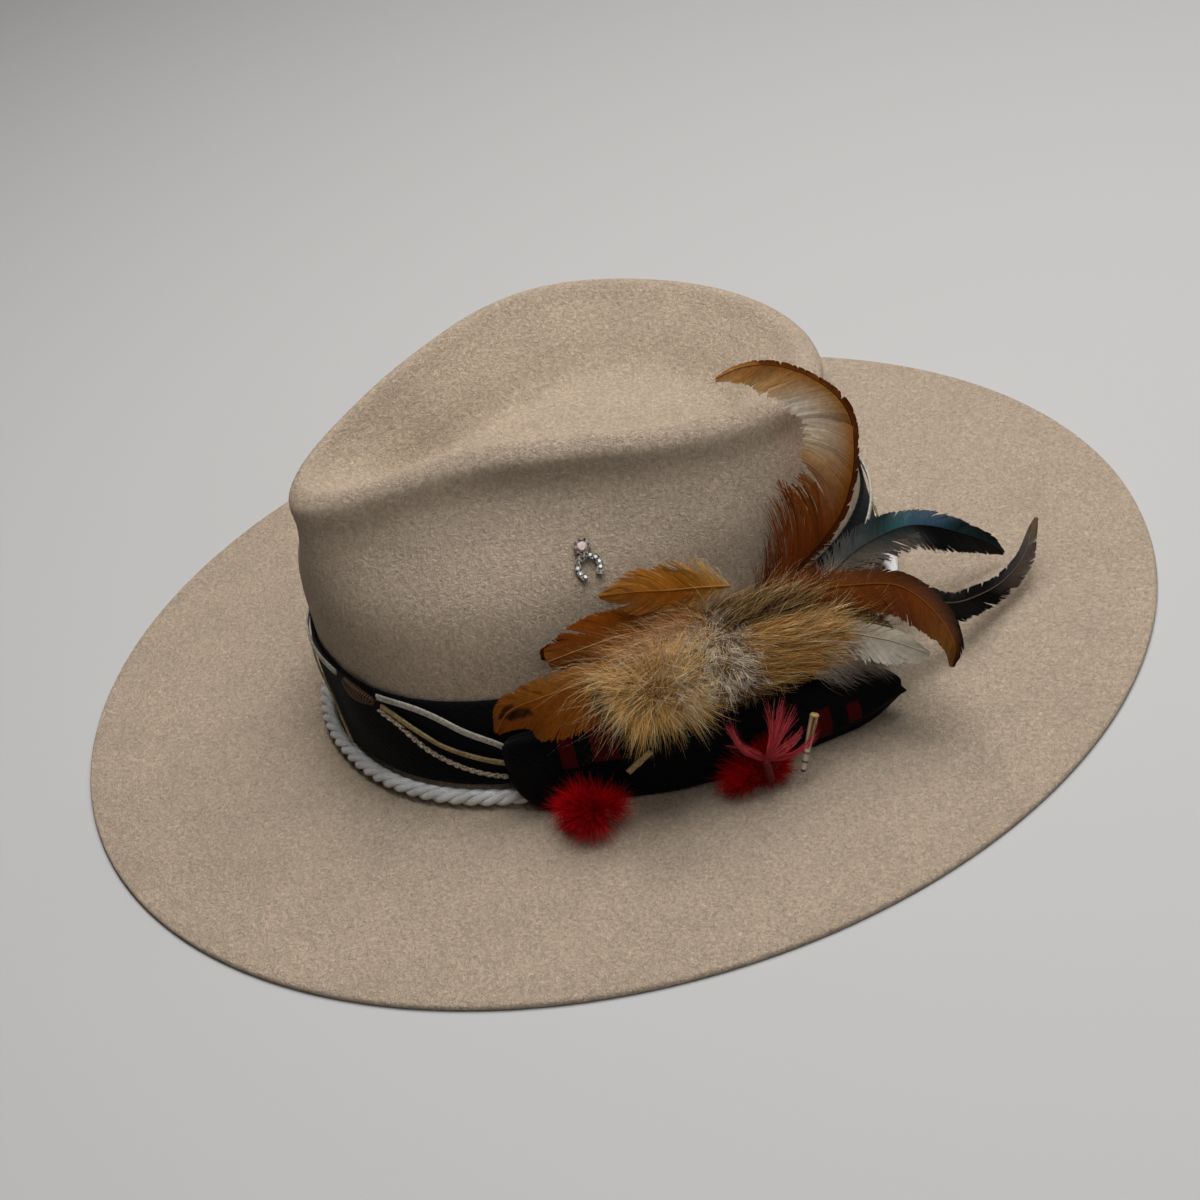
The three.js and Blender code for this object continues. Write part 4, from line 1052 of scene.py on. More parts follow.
def feather_frames(feather, count=400):
    """The shaft at even places: points, ways along, aside and up, the vane's reaches, and lengths so far."""
    rows = np.array(feather["rows"], float)
    places = np.linspace(0, 1, count)
    shaft = through(rows[:, :3], places)
    reach = np.maximum(through(rows[:, 3:], places, tension=0.3), 0.3)
    along = unit(np.gradient(shaft, axis=0))
    side = unit(np.cross(along, np.broadcast_to(feather["face"], shaft.shape)))
    up = unit(np.cross(side, along))
    run = np.r_[0, np.cumsum(np.linalg.norm(np.diff(shaft, axis=0), axis=1))]
    return shaft, along, side, up, reach, run


def raggedness(chance, loose, width, tuft, downy):
    """The share of its reach that each barb has: uneven by tufts and by barbs, and most where it is downy."""
    even = np.clip(width / FULL_WIDTH, 0.15, 1)
    by_tuft = 1 - even * 0.16 * loose * chance.random(tuft[-1] + 1)[tuft]
    by_barb = 1 + even * (0.02 + 0.12 * loose) * chance.normal(-0.3, 0.7, len(tuft))
    return by_tuft * by_barb * (1 + downy * (chance.random(len(tuft)) - 0.35))


def tones(chance, loose, tuft):
    """How light or dark each barb is beside its neighbours, by barbs and by tufts."""
    by_barb = (0.04 + 0.12 * loose) * chance.normal(0, 1, len(tuft))
    by_tuft = 0.2 * loose * chance.normal(0, 1, tuft[-1] + 1)[tuft]
    return np.clip(1 + by_barb + by_tuft, 0.5, 1.6)[:, None]


def barbs(feather, chance):
    """The barbs of both sides of a feather: they leave the shaft forwards and end at the vane's outline."""
    shaft, along, side, up, reach, run = feather_frames(feather)
    frames = {"shaft": shaft, "along": along, "side": side, "up": up}
    length = run[-1]
    loose = feather["loose"]
    tables = []
    for sign, column, tints in ((1, 0, feather["one"]), (-1, 1, feather["other"])):
        count = int(length / feather["spacing"])
        start = np.linspace(0.004, 0.99, count) * length + chance.normal(0, 0.04, count)
        width = np.interp(start, run, reach[:, column])
        end = np.minimum(start + feather["sweep"] * width, 0.996 * length - 0.4 * chance.random(count))
        tuft = np.cumsum(chance.random(count) < TUFTS)
        centre = np.array([end[tuft == k].mean() for k in range(tuft[-1] + 1)])[tuft]
        pull = loose * (0.5 + 0.5 * chance.random(tuft[-1] + 1))[tuft]
        near_tip = np.clip((length - start) / (NEAT_TIP * length), 0, 1)
        end = end + (centre - end) * pull * near_tip
        place = start / length
        downy = np.clip(1 - place / feather["down"], 0, 1)
        reach_end = np.interp(end, run, reach[:, column])
        for notch_side, notch, depth in feather.get("notches", ()):
            if notch_side == sign:
                reach_end *= 1 - depth * np.clip(1 - np.abs(end / length - notch) / NOTCH, 0, 1)
        reach_end *= raggedness(chance, loose, width, tuft, downy)
        here = {key: read_off(start, run, values) for key, values in frames.items()}
        there = {key: read_off(end, run, values) for key, values in frames.items()}
        root = here["shaft"]
        ruffle = 0.7 * loose * chance.normal(0, 1, tuft[-1] + 1)[tuft]
        lift = (-CAMBER * reach_end + ruffle * near_tip)[:, None]
        tip = there["shaft"] + sign * there["side"] * reach_end[:, None] + there["up"] * lift
        tip += downy[:, None] * chance.normal(0, 1.6, (count, 3))
        gap = np.linalg.norm(tip - root, axis=1, keepdims=True)
        bow = feather["bow"]
        way = unit(sign * here["side"] * (1 - bow) + here["along"] * (0.35 + bow)) * gap
        uneven = chance.normal(0, 0.02 + 0.12 * loose, (count, 3))
        face = unit(here["up"] + 0.2 * sign * here["side"] + uneven)
        tone = tones(chance, loose, tuft)
        spots = np.zeros(count)
        if "spots" in feather:
            low, high = feather["spots"]
            spots = ((place > low) & (place < high)) * chance.uniform(0.7, 1, count)
        tables.append({
            "start": root, "way": way, "bend": tip - root - way, "face": face,
            "wide": feather["spacing"] * (2.0 + 0.6 * width / 10) * (1 - 0.6 * downy),
            "wave": unit(chance.normal(0, 1, (count, 3))) * (0.04 + 0.9 * downy[:, None]),
            "phase": chance.random(count) * TURN,
            "tint": shades(place, tints, 1) * tone,
            "tint_end": shades(place, tints, 2) * tone,
            "mark": spots,
        })
    return gathered(tables)


def shaft_rings(feather):
    """A feather's shaft, thick at its root and fine at its tip, standing a little proud of the vane."""
    shaft, _, _, up, _, run = feather_frames(feather, 60)
    share = run / run[-1]
    return tube(shaft + 0.12 * up, 0.09 + 0.3 * (1 - share) ** 1.3, 8)


def make_feathers(settings):
    """Every feather: its barbs, and its shaft joined to them."""
    materials = {
        "ginger_feather": feather_vane("ginger feather vane", 0.5, 0.03),
        "white_feather": feather_vane("white feather vane", 0.55, 0.05),
        # The green feather's iridescent sheen is painted into its tints; this material makes none
        "dark_feather": feather_vane("dark feather vane with painted iridescent sheen", 0.35, 0.1),
    }
    slots = dict.fromkeys(("green_feather", "black_feather"), "dark_feather")
    slots["right_white_feather"] = "white_feather"
    for seed, (node, feather) in enumerate(FEATHERS.items()):
        chance = np.random.default_rng(100 + seed)
        slot = slots.get(node, "ginger_feather")
        piece = strands(node + "_barbs", barbs(feather, chance), materials[slot], "barb")
        rings = shaft_rings(feather)
        root, tip = (np.array(linear(code)[:3]) for code in feather["quill"])
        share = np.repeat(np.linspace(0, 1, len(rings)), rings.shape[1])[:, None]
        with_solids(piece, [rings], root + (tip - root) * share)
        settle(piece)
        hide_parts(node)


def root_to_tip(tree, start, end):
    """The colour of strips, mixed from root to tip as their attributes say, and the place along them."""
    near = add(tree, READ, attribute_name="tint")
    far = add(tree, READ, attribute_name="tint_end")
    reach = add(tree, READ, out="Fac", attribute_name="reach")
    share = add(tree, RANGE, (reach, start, end))
    return add(tree, MIX, {0: share, 6: near, 7: far}, **COLOURS), reach


def feather_vane(name, roughness, shine):
    """A feather's vane: silky barbs that run from a darker or paler base to the edge, softly glossy."""
    material, tree = new_material(name, Roughness=roughness, Specular_IOR_Level=shine)
    colour, reach = root_to_tip(tree, 0.1, 0.9)
    mark = add(tree, READ, out="Fac", attribute_name="mark")
    place = add(tree, PLACE, out="Object")
    streak = add(tree, NOISE, {"Vector": place, "Scale": per(1.6), "Detail": 3.0})
    blot = add(tree, NOISE, {"Vector": place, "Scale": per(9), "Detail": 2.0})
    inside = add(tree, RANGE, (reach, 0.06, 0.16))
    outside = add(tree, RANGE, (reach, 0.6, 0.42))
    middle = add(tree, MATH, (inside, outside), operation="MULTIPLY")
    marked = add(tree, MATH, (middle, mark), operation="MULTIPLY")
    spot = add(tree, MATH, (marked, add(tree, RANGE, (blot, 0.5, 0.56))), operation="MULTIPLY")
    spotted = add(tree, MIX, {0: spot, 6: colour, 7: linear("#160d08")}, **COLOURS)
    shade = add(tree, RANGE, (streak, 0.3, 0.7, 0.85, 1.1))
    return dressed(material, add(tree, VECTOR, {0: spotted, "Scale": shade}, operation="SCALE"))


# Fur and fluff. The fur's oval core: the middle of each section, and its half sizes across and upwards
FUR = [
    (-46, 98, 48, 4, 7), (-38, 101, 46, 10, 12), (-24, 104, 46, 14, 16), (-6, 106, 46, 15, 17),
    (12, 107, 44, 15, 16), (28, 109, 40, 13, 14), (42, 112, 36, 10, 10), (53, 115, 32, 4, 5),
]
# Patches of hair: share of the strands, stretch along the core and degrees round it, the flow or the hub that
# the hair spreads from, length, spread, lean into the flow, wave, width, and colours at roots and tips
HAIR = [
    {"share": 0.15, "along": (0.1, 0.33), "around": (-22, 75), "hub": (0.22, 22), "length": 11, "spread": 0.5,
     "lie": 0.9, "wave": 0.9, "wide": 0.13, "root": ("#d09a4c", "#b8823a", "#e0b064"),
     "tip": ("#fbd98e", "#f0bc64", "#fdeabc", "#d89c48")},
    {"share": 0.08, "along": (0.06, 0.3), "around": (-10, 130), "flow": (0.2, -0.5, 0.1), "length": 8,
     "spread": 0.5, "lie": 0.9, "wave": 1.0, "wide": 0.12, "root": ("#8c5c28", "#a07038", "#6c4420"),
     "tip": ("#dcb070", "#b8803c", "#ecd4a4")},
    {"share": 0.2, "along": (0.27, 0.5), "around": (-15, 125), "flow": (0.3, 0.1, 0.1), "length": 6.5,
     "spread": 0.8, "lie": 0.8, "wave": 1.7, "root": ("#b09678", "#8c7256", "#c8b294"),
     "tip": ("#f4ead8", "#ecdfc6", "#fbf4e6", "#d4c0a0")},
    {"share": 0.05, "along": (0.1, 0.6), "around": (-75, -10), "flow": (0.1, 0.25, -0.2), "length": 4,
     "spread": 0.5, "lie": 0.9, "wave": 1.0, "root": ("#5c4226", "#7a5a36"),
     "tip": ("#a88a60", "#c8b088", "#7c6040")},
    {"share": 0.16, "along": (0.45, 0.74), "around": (-20, 62), "flow": (0.15, 0.95, -0.05), "length": 12,
     "spread": 0.34, "lie": 1.3, "wave": 0.9, "wide": 0.14, "root": ("#86541f", "#6c4018", "#a0702f"),
     "tip": ("#dca860", "#b47e3c", "#eccf98", "#8c5c26")},
    {"share": 0.09, "along": (0.66, 0.92), "around": (-60, 25), "flow": (0.15, 0.6, -0.3), "length": 11,
     "spread": 0.3, "lie": 1.1, "wave": 0.6, "root": ("#d8d0c4", "#c4bab0", "#e4dcd2"),
     "tip": ("#8c8276", "#4c443c", "#b0a69a")},
    {"share": 0.11, "along": (0.42, 0.68), "around": (64, 120), "flow": (0.1, 0.9, 0.2), "length": 14,
     "spread": 0.22, "lie": 1.2, "wave": 0.5, "root": ("#1c1008", "#2a1a0e", "#38220f"),
     "tip": ("#2e1c0e", "#8c6430", "#20130a", "#c8a468", "#2a1a0e")},
    {"share": 0.06, "along": (0.04, 0.5), "around": (20, 140), "flow": (0.2, -0.8, 0.35), "length": 23,
     "spread": 0.6, "lie": 0.9, "wave": 2.2, "wide": 0.08, "root": ("#b0844c", "#c89c60"),
     "tip": ("#f4e4c0", "#e8c890", "#d0a05c")},
    {"share": 0.04, "along": (0.4, 0.95), "around": (20, 130), "flow": (0.1, 0.8, 0.4), "length": 20,
     "spread": 0.5, "lie": 0.9, "wave": 1.4, "wide": 0.1, "root": ("#6a4420", "#7c5426"),
     "tip": ("#d0a868", "#ecd8b0", "#8c5a28")},
    {"share": 0.09, "along": (0.2, 0.44), "around": (72, 140), "flow": (0.1, -0.9, 0.35), "length": 16,
     "spread": 0.5, "lie": 0.8, "wave": 1.5, "wide": 0.1, "root": ("#8c4c14", "#a05c1c"),
     "tip": ("#c8843c", "#e0b070", "#a8642a", "#f0dcb8")},
    {"share": 0.04, "along": (0.42, 0.72), "around": (95, 150), "flow": (0.0, 0.2, 0.8), "length": 11,
     "spread": 0.6, "lie": 0.8, "wave": 1.5, "wide": 0.1, "root": ("#6c3810", "#84481a"),
     "tip": ("#b87434", "#dcb884", "#94582a", "#e8dcc8")},
    {"share": 0.06, "along": (0.62, 0.97), "around": (80, 130), "flow": (-0.1, 0.8, 0.35), "length": 16,
     "spread": 0.2, "lie": 1.2, "wave": 0.4, "root": ("#5c280c", "#421c08", "#6c3410"),
     "tip": ("#94501a", "#7c3e12", "#5a260a", "#a86828")},
]
CORE = "#7a6040"
# How deep in the core the hairs are rooted, and how wide a hair is where its patch doesn't say
ROOTED = 0.86
HAIR_WIDTH = 0.17
# The locks that hairs gather in, along and round the core
LOCKS = (26, 7)


def fur_place(t, turn, share=ROOTED):
    """A point of the fur's oval core at a place along it and an angle round it, and its outward way."""
    rows = np.array(FUR, float)
    centre = through(rows[:, [1, 0, 2]], t)
    size = through(rows[:, 3:], t)
    out = np.stack([np.cos(turn), np.zeros_like(turn), np.sin(turn)], -1)
    way = np.stack([np.cos(turn) * size[:, 1], np.zeros_like(turn), np.sin(turn) * size[:, 0]], -1)
    offset = np.stack([size[:, 0], np.zeros(len(size)), size[:, 1]], -1) * out * share
    return centre + offset, unit(way)


def pick(chance, count, codes):
    """A colour for each strand, drawn from a few."""
    table = np.array([linear(code)[:3] for code in codes])
    return table[chance.integers(0, len(codes), count)]


def fur_roots(chance, count, patch):
    """The hairs of a patch: each leans from the outward way into the flow, or away from the patch's hub."""
    t = chance.uniform(*patch["along"], count)
    turn = np.radians(chance.uniform(*patch["around"], count))
    start, out = fur_place(t, turn)
    flow = np.broadcast_to(np.asarray(patch.get("flow", (0, 0, 0)), float), (count, 3))
    if "hub" in patch:
        at, angle = patch["hub"]
        hub, hub_out = fur_place(np.array([at]), np.radians([angle]))
        away = start - hub
        away -= (away * hub_out).sum(1, keepdims=True) * hub_out
        flow = unit(away + chance.normal(0, 0.6, (count, 3)))
    lock = np.floor(t * LOCKS[0]) * 31 + np.floor(turn * LOCKS[1])
    order = np.unique(lock, return_inverse=True)[1]
    shared = chance.normal(0, 1, (order.max() + 1, 3))[order]
    spread = patch["spread"] * (0.75 * shared + 0.6 * chance.normal(0, 1, (count, 3)))
    lean = unit(out + patch["lie"] * flow + spread)
    size = patch["length"] * chance.uniform(0.3, 1.2, count)[:, None]
    droop = np.array([0, 0, -0.16]) * size
    fall = droop + 0.3 * patch["lie"] * flow * size - 0.3 * out * size * patch["lie"]
    return {
        "start": start, "way": lean * size, "bend": fall + 0.06 * chance.normal(0, 1, (count, 3)) * size,
        "face": unit(out + chance.normal(0, 0.5, (count, 3))),
        "wave": unit(shared + 0.5 * chance.normal(0, 1, (count, 3))) * patch["wave"],
        "phase": (order * 2.4) % TURN + chance.normal(0, 0.5, count),
        "wide": patch.get("wide", HAIR_WIDTH) * chance.uniform(0.6, 1.2, count),
        "tint": pick(chance, count, patch["root"]), "tint_end": pick(chance, count, patch["tip"]),
    }


def make_fur(settings):
    """The fur: patches of hairs, each rooted in one oval core."""
    chance = np.random.default_rng(7)
    tables = [fur_roots(chance, int(patch["share"] * settings.fur_strands), patch) for patch in HAIR]
    piece = strands("fur_hairs", gathered(tables), soft_hair("soft fur", 0.05, 0.0), "hair")
    t = np.linspace(0, 1, 40)
    turn = np.radians(np.arange(0, 360, 15.0))
    rings = np.stack([fur_place(t, np.full(40, a))[0] for a in turn], 1)
    rings += chance.normal(0, 0.25, rings.shape)
    with_solids(piece, [rings], linear(CORE)[:3])
    settle(piece)
    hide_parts("fur_tuft")


def soft_hair(name, shine, sheen):
    """Fur or down: fine hairs, each its own colour from root to tip, darkened by painted shade near the root,
    with more or less of a soft sheen.
    """
    material, tree = new_material(
        name, Roughness=0.6, Sheen_Weight=sheen, Sheen_Roughness=0.4, Specular_IOR_Level=shine
    )
    colour, reach = root_to_tip(tree, 0.05, 0.75)
    place = add(tree, PLACE, out="Object")
    patch = add(tree, NOISE, {"Vector": place, "Scale": per(3.5), "Detail": 2.0})
    # Painted shade: each strand darkens to 0.7 at its root and reaches full brightness by 0.3 of its length
    depth = add(tree, RANGE, (reach, 0.0, 0.3, 0.7, 1.0))
    tone = add(tree, MATH, (depth, add(tree, RANGE, (patch, 0.35, 0.65, 0.8, 1.1))), operation="MULTIPLY")
    return dressed(material, add(tree, VECTOR, {0: colour, "Scale": tone}, operation="SCALE"))


# The puffs of fluff: middle, turn about the vertical, sizes, length of the down, and its colours
PUFFS = {
    "red_puff_left": {
        "at": (98, -58.5, 9.5), "turn": -44, "size": (9, 15, 4.5), "length": 8,
        "root": ("#8a0004", "#9c0006", "#7a0004"), "tip": ("#b8000a", "#d00814", "#a40008", "#e01420"),
    },
    "red_puff_right": {
        "at": (120, -5, 9.5), "turn": 0, "size": (6.5, 15, 6.5), "length": 8,
        "root": ("#8a0006", "#9c0008"), "tip": ("#b4060e", "#c80a14", "#9c0008"),
    },
}


# The tufts in a puff, and how far its down stays above the felt
PUFF_TUFTS = 18
PUFF_LIFT = 0.6


def make_puffs(settings):
    """Marabou fluff: soft curling down that spreads from the middle and lies on the brim below."""
    material = soft_hair("dyed marabou down", 0.05, 0.0)
    floor = FELT + PUFF_LIFT
    for seed, (node, puff) in enumerate(PUFFS.items()):
        chance = np.random.default_rng(30 + seed)
        count = settings.fluff_strands
        tufts = unit(chance.normal(0, 1, (PUFF_TUFTS, 3)) + (0, 0, 0.3))
        tuft = chance.integers(0, len(tufts), count)
        way = unit(tufts[tuft] + chance.normal(0, 0.3, (count, 3)))
        turn = math.radians(puff["turn"])
        cos, sin = math.cos(turn), math.sin(turn)
        turned = np.array([[cos, -sin, 0], [sin, cos, 0], [0, 0, 1]])
        start = (way * np.array(puff["size"]) * 0.5) @ turned.T + puff["at"]
        out = unit(way @ turned.T + chance.normal(0, 0.35, (count, 3)))
        reach = chance.uniform(0.4, 1.35, len(tufts))[tuft]
        size = (puff["length"] * reach * chance.uniform(0.6, 1.1, count))[:, None]
        below = start[:, 2:] + out[:, 2:] * size < floor
        laid = (floor - start[:, 2:]) / size * chance.uniform(0.2, 1, (count, 1))
        out[:, 2:] = np.where(below, laid, out[:, 2:])
        roots = {
            "start": start, "way": out * size,
            "bend": chance.normal(0, 0.15, (count, 3)) * size * (1, 1, 0.2),
            "face": unit(chance.normal(0, 1, (count, 3))),
            "wide": HAIR_WIDTH * chance.uniform(0.6, 1.2, count),
            "wave": unit(chance.normal(0, 1, (count, 3))) * (0.9, 0.9, 0.3),
            "phase": chance.random(count) * TURN,
            "tint": pick(chance, count, puff["root"]), "tint_end": pick(chance, count, puff["tip"]),
        }
        piece = strands(node + "_fluff", roots, material, "down")
        settle(piece)
        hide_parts(node)


# The hackle's ribbons spread from one knot: the middle and the tip of each, and its width
HACKLE = {
    "knot": (129, -7, 19.7),
    "ribbons": [
        ((129.5, -14.5, 30), (130, -15.9, 42), 1.6), ((129.5, -3.1, 28.6), (130, -1.9, 41.2), 1.8),
        ((129.2, -1.8, 27.8), (130, 3.5, 38.3), 1.7), ((129.6, -0.3, 25.8), (130, 5.9, 33.7), 1.7),
        ((129.3, 0.9, 21), (130, 7.6, 25.5), 2.8), ((129.5, 5.9, 17.5), (130, 12.7, 24.3), 1.8),
        ((129, -10, 25), (129.5, -19.5, 33), 1.2),
    ],
    "foot": (128, -6, 11),
    "face": (1, -0.3, 0.35),
    "barbs": 40,
    "stem": 1.3,
}


def make_hackle(settings):
    """The red hackle: flat ribbons of fine barbs that curl out of one knot."""
    chance = np.random.default_rng(50)
    tables = []
    knot, foot, face = (np.array(HACKLE[key], float) for key in ("knot", "foot", "face"))
    face = unit(face)
    solids = [tube(foot + (knot - foot) * np.linspace(0, 1, 12)[:, None], HACKLE["stem"], 10)]
    count = HACKLE["barbs"]
    for middle, tip, width in HACKLE["ribbons"]:
        middle, tip = np.array(middle, float), np.array(tip, float)
        side = unit(np.cross(tip - knot, face))
        t = np.linspace(0, 1, 20)
        way = 4 * (middle - knot) - (tip - knot)
        bend = 2 * (tip - knot) - 4 * (middle - knot)
        path = knot + way * t[:, None] + bend * (t * t)[:, None]
        solids.append(tube(path - 0.2 * face, 0.32 - 0.22 * t, 6))
        across = chance.uniform(-0.5, 0.5, count)[:, None] * width
        lift = chance.uniform(-0.15, 0.25, count)[:, None] * face
        share = chance.uniform(0.72, 1.04, count)[:, None]
        start = knot + 0.35 * across * side + lift
        end = knot + way * share + bend * share**2 + 0.3 * across * side + chance.normal(0, 1.1, (count, 3))
        half = knot + way * share / 2 + bend * share**2 / 4 + 0.9 * across * side + lift
        lead = 4 * (half - start) - (end - start)
        tables.append({
            "start": start, "way": lead, "bend": end - start - lead,
            "face": np.broadcast_to(face, (count, 3)) + chance.normal(0, 0.12, (count, 3)),
            "wide": np.full(count, 0.2), "wave": chance.normal(0, 0.45, (count, 3)),
            "phase": chance.random(count) * TURN,
            "tint": pick(chance, count, ("#8c1622", "#a01e2c", "#ac2836")),
            "tint_end": pick(chance, count, ("#d04650", "#bc3440", "#dc5c62", "#a82834")),
        })
    hair = soft_hair("dyed stripped hackle", 0.2, 0.05)
    piece = strands("red_hackle_strands", gathered(tables), hair, "hackle")
    with_solids(piece, solids, linear("#6e101a")[:3])
    settle(piece)
    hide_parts("red_hackle")


# The bow: at each angle, its inside and outside, out from the head line, and its lowest and highest points
BOW = [
    (44.5, 4.2, 7.6, 14, 29), (46.5, 4.2, 9.2, 8, 31.5), (50, 4.2, 10.4, 3.2, 33), (57, 4.2, 12, 2.8, 34),
    (66, 4.2, 15, 2.8, 33.5), (75, 4.2, 20.5, 2.8, 33), (84, 4.2, 24, 2.8, 32), (93, 5, 28, 2.8, 31),
    (101, 9, 32, 2.8, 30), (108, 18, 36.5, 3.4, 26.5), (113.5, 29, 40.5, 6.5, 18),
]
# The bow's mesh, its room over the felt, the girth that its threads are laid out on, and its creases' depth
BOW_STATIONS = 150
BOW_SIDES = 60
BOW_LIFT = 0.3
BOW_GIRTH = 100
CREASE = 0.45


def bow_section(inside, outside, low, high):
    """The bow's section as steps out from the head line and heights, with the groove for the rope."""
    foot = max(inside, min(ROPE["out"] + ROPE["radius"] + GAP, outside - 1.2))
    step = max(ROPE["z"] + ROPE["radius"] + GAP, low + 1)
    height = high - low
    corner = min(3, (outside - foot) / 2)
    return [
        (inside, high - corner), (inside, step + 1), (foot, step), (foot, low + 0.5),
        (outside - corner, low), (outside, low + corner), (outside + 1, low + 0.45 * height),
        (outside, high - corner),
        ((inside + outside) / 2, high),
    ]


def make_bow(settings):
    """The cloth bow: a soft folded roll, with creases that run along it and gather at its ends."""
    stations = through(BOW, np.linspace(0, 1, BOW_STATIONS))
    rings = []
    for _, inside, outside, low, high in stations:
        ring = np.array(bow_section(inside, outside, low, high))
        looped = np.concatenate([ring[-2:], ring, ring[:3]])
        places = (2 + np.arange(BOW_SIDES) * len(ring) / BOW_SIDES) / (len(looped) - 1)
        rings.append(through(looped, places, tension=0.42))
    rings = np.array(rings)
    degrees = stations[:, 0]
    share = np.linspace(0, 1, len(degrees))[:, None]
    turn = np.linspace(0, TURN, BOW_SIDES, endpoint=False)[None, :]
    crease = 0.7 * np.sin(4 * turn + 5 * share) + 0.45 * np.sin(7 * turn - 9 * share + 1)
    crease += 0.35 * np.sin(23 * share + 2 * turn)
    ends = 1 + 1.2 * np.exp(-share / 0.06) + 1.2 * np.exp(-(1 - share) / 0.08)
    middle = rings.mean(1, keepdims=True)
    outward = unit(rings - middle)
    front = np.clip(outward[..., :1] + 0.3, 0, 1)
    rings = rings + outward * (CREASE * crease * ends)[..., None] * front
    rings[..., 1] = np.maximum(rings[..., 1], FELT + BOW_LIFT)
    points = polar(degrees[:, None], head_line(degrees)[:, None] + rings[..., 0], rings[..., 1])
    faces, corners = capped(points)
    run = np.r_[0, np.cumsum(np.linalg.norm(np.diff(points.mean(1), axis=0), axis=1))]
    along = run[np.minimum(corners[..., 0], len(run) - 1)]
    uv = np.stack([along, BOW_GIRTH * corners[..., 1] / BOW_SIDES], -1) * MM
    uv = np.concatenate([uv.reshape(-1, 2), np.zeros((2 * BOW_SIDES, 2))])
    # 0b0b0e is the painted highlight on the tops of the bow's threads
    cloth = woven_cloth("black plaid wool cloth", THREAD, plaid, "#030304", "#0b0b0e")
    piece = new_piece(
        "plaid_cloth_bow", points, faces, cloth, "bow_cloth", uv=uv, level=points[..., 2].ravel(),
        run=np.repeat(degrees, BOW_SIDES),
    )
    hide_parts("cloth_bow")


# The plaid's bars: the middle of each in degrees round the crown, its half width, and its lowest and highest
# points; its edges are as soft as the last two values
BARS = [
    (56.9, 1.5, 20, 40), (63.8, 2.5, 21, 40), (89.7, 1.25, 9, 15.5), (100.2, 1.6, 5.5, 18.5),
    (105.4, 1.1, 7.5, 16),
]
BAR_EDGE = 0.15
BAR_END = 0.7


def plaid(tree, ground):
    """Dim red plaid bars that cross the cloth's upper half, at their angles round the crown."""
    run = add(tree, READ, out="Fac", attribute_name="run")
    level = add(tree, READ, out="Fac", attribute_name="level")
    colour = ground
    for centre, half, low, high in BARS:
        aside = add(tree, MATH, (run, centre), operation="SUBTRACT")
        away = add(tree, MATH, (aside,), operation="ABSOLUTE")
        bar = add(tree, RANGE, (away, half, half - BAR_EDGE))
        for edge, inside in ((low, low + BAR_END), (high, high - BAR_END)):
            bar = add(tree, MATH, (bar, add(tree, RANGE, (level, edge, inside))), operation="MULTIPLY")
        colour = add(tree, MIX, {0: bar, 6: colour, 7: linear("#460408")}, **COLOURS)
    return colour


# The quill's radii at its foot and head, and the stretch of it that is cut open like a pen
QUILL = {
    "from": (127.5, 5.5, 7), "to": (127, 14.5, 26), "foot": 0.8, "head": 1.6, "open": 0.36, "shut": 0.955,
}
# The loose end of lace, with the way that its face looks
LACE_END = {
    "from": (107, -35.8, 27), "to": (105, -44.5, 22), "width": 2.2, "thick": 0.9, "face": (0.9, -0.35, 0.1),
}


def make_quill(settings):
    """The striped quill, cut open like a pen."""
    a, b = np.array(QUILL["from"]), np.array(QUILL["to"])
    t = np.r_[0, 0.02, np.linspace(0.05, 0.97, 40), 0.99, 1.0]
    radius = np.interp(t, [0, 1], [QUILL["foot"], QUILL["head"]])
    radius[0] *= 0.3
    radius[-2:] *= (0.85, 0.5)
    centre = (a + (b - a) * t[:, None])[:, None]
    rings = tube(a + (b - a) * t[:, None], 1.0, 24, up=(1, 0, 0)) - centre
    facing = np.clip((rings[..., 0] - 0.25) / 0.35, 0, 1)
    hollow = np.clip((t - QUILL["open"]) / 0.08, 0, 1) * np.clip((QUILL["shut"] - t) / 0.03, 0, 1)
    cut = facing * hollow[:, None]
    rings = centre + rings * (radius[:, None] * (1 - 1.25 * cut))[..., None]
    faces, _ = capped(rings)
    piece = new_piece(
        "quill_shaft", rings, faces, horn(), "quill", run=np.repeat(t, rings.shape[1]), inside=cut.ravel()
    )
    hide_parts("striped_quill")


def make_lace_end(settings):
    """The loose end of cream lace."""
    a, b = np.array(LACE_END["from"]), np.array(LACE_END["to"])
    path = a + (b - a) * np.linspace(0, 1, 12)[:, None]
    away = np.broadcast_to(LACE_END["face"], path.shape)
    rings = flat_lace_rings(path, away, LACE_END["width"], LACE_END["thick"], 0.1)
    faces, _ = capped(rings)
    lace = flat_lace("loose cream lace", "#b39c70", "#77633e")
    piece = new_piece("loose_lace_end", rings, faces, lace, "cream_cord")
    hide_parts("lace_end")


# The dark bars along the quill
HORN_BARS = 6.5


